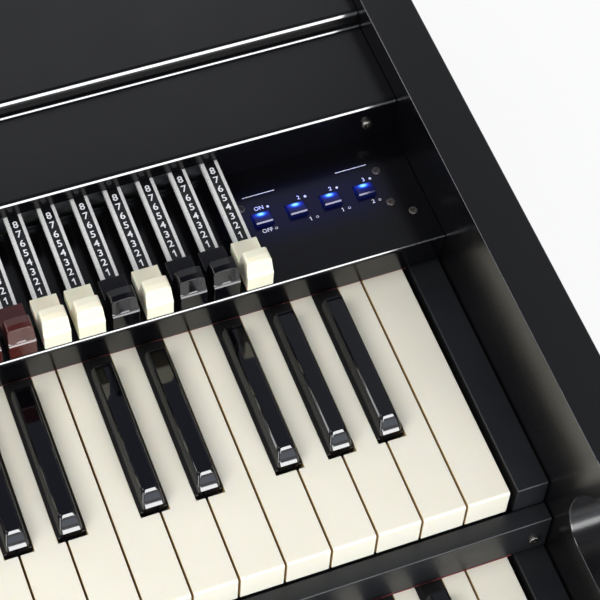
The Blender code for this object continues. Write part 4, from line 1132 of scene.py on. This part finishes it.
# The air of the studio: dim overhead, and brighter low down behind and in front.
world = bpy.data.worlds.new("studio_air")
bpy.context.scene.world = world
world.use_nodes = True
tree = world.node_tree
sky = tree.nodes["Background"]
coords = node(tree, "ShaderNodeTexCoord", {}, {}).outputs["Generated"]
split = node(tree, "ShaderNodeSeparateXYZ", {}, {"Vector": coords})
place = node(tree, "ShaderNodeMapRange", {"From Min": -1.0, "From Max": 1.0}, {"Value": split.outputs["Y"]})
air = node(tree, "ShaderNodeValToRGB", {}, {"Fac": place.outputs["Result"]})
air.color_ramp.elements[0].color = linear("#b4c4d8")
air.color_ramp.elements[1].color = linear("#b9bcc2")
for where, code in ((0.1, "#b4c4d8"), (0.22, "#3c3d42"), (0.55, "#3c3d42"), (0.75, "#66697a")):
    air.color_ramp.elements.new(where).color = linear(code)
low = node(tree, "ShaderNodeMapRange", {"From Min": 0.35, "From Max": 0.2}, {"Value": split.outputs["Z"]})
side = node(tree, "ShaderNodeMapRange", {"From Min": 0.18, "From Max": 0.36}, {"Value": split.outputs["X"]})
right_side = node(tree, "ShaderNodeMix", {"data_type": "RGBA", 7: linear("#b2b4ba")},
                  {0: side.outputs["Result"], 6: air.outputs["Color"]})
walls = node(tree, "ShaderNodeMix", {"data_type": "RGBA", 7: linear("#b4c4d8")},
             {0: low.outputs["Result"], 6: right_side.outputs[2]})
tree.links.new(walls.outputs[2], sky.inputs["Color"])
path = node(tree, "ShaderNodeLightPath", {}, {})
backdrop = node(tree, "ShaderNodeBackground", {"Color": (1, 1, 1, 1), "Strength": 1.0}, {})
seen = node(tree, "ShaderNodeMath", {"operation": "ADD"},
            {0: path.outputs["Is Camera Ray"], 1: path.outputs["Is Transmission Ray"]})
mirrored = node(tree, "ShaderNodeMath", {"operation": "MULTIPLY"},
                {0: path.outputs["Is Glossy Ray"], 1: low.outputs["Result"]})
share = node(tree, "ShaderNodeMath", {"operation": "ADD", "use_clamp": True},
             {0: seen.outputs["Value"], 1: mirrored.outputs["Value"]})
mixed = node(tree, "ShaderNodeMixShader", {},
             {0: share.outputs["Value"], 1: sky.outputs["Background"], 2: backdrop.outputs["Background"]})
tree.links.new(mixed.outputs["Shader"], tree.nodes["World Output"].inputs["Surface"])

lens = bpy.data.cameras.new("photo_camera")
lens.lens = 130.154
lens.sensor_width = 36.0
lens.clip_start = 0.05
lens.clip_end = 50.0
camera = bpy.data.objects.new("photo_camera", lens)
camera_place = (0.105837, -0.528888, 1.039232)
camera_angles = Euler([math.radians(angle) for angle in (33.57871, -2.67222, -20.84453)])
camera.matrix_world = Matrix.Translation(camera_place) @ camera_angles.to_matrix().to_4x4()
bpy.context.scene.collection.objects.link(camera)
bpy.context.scene.camera = camera
bpy.context.scene.view_settings.view_transform = "Standard"
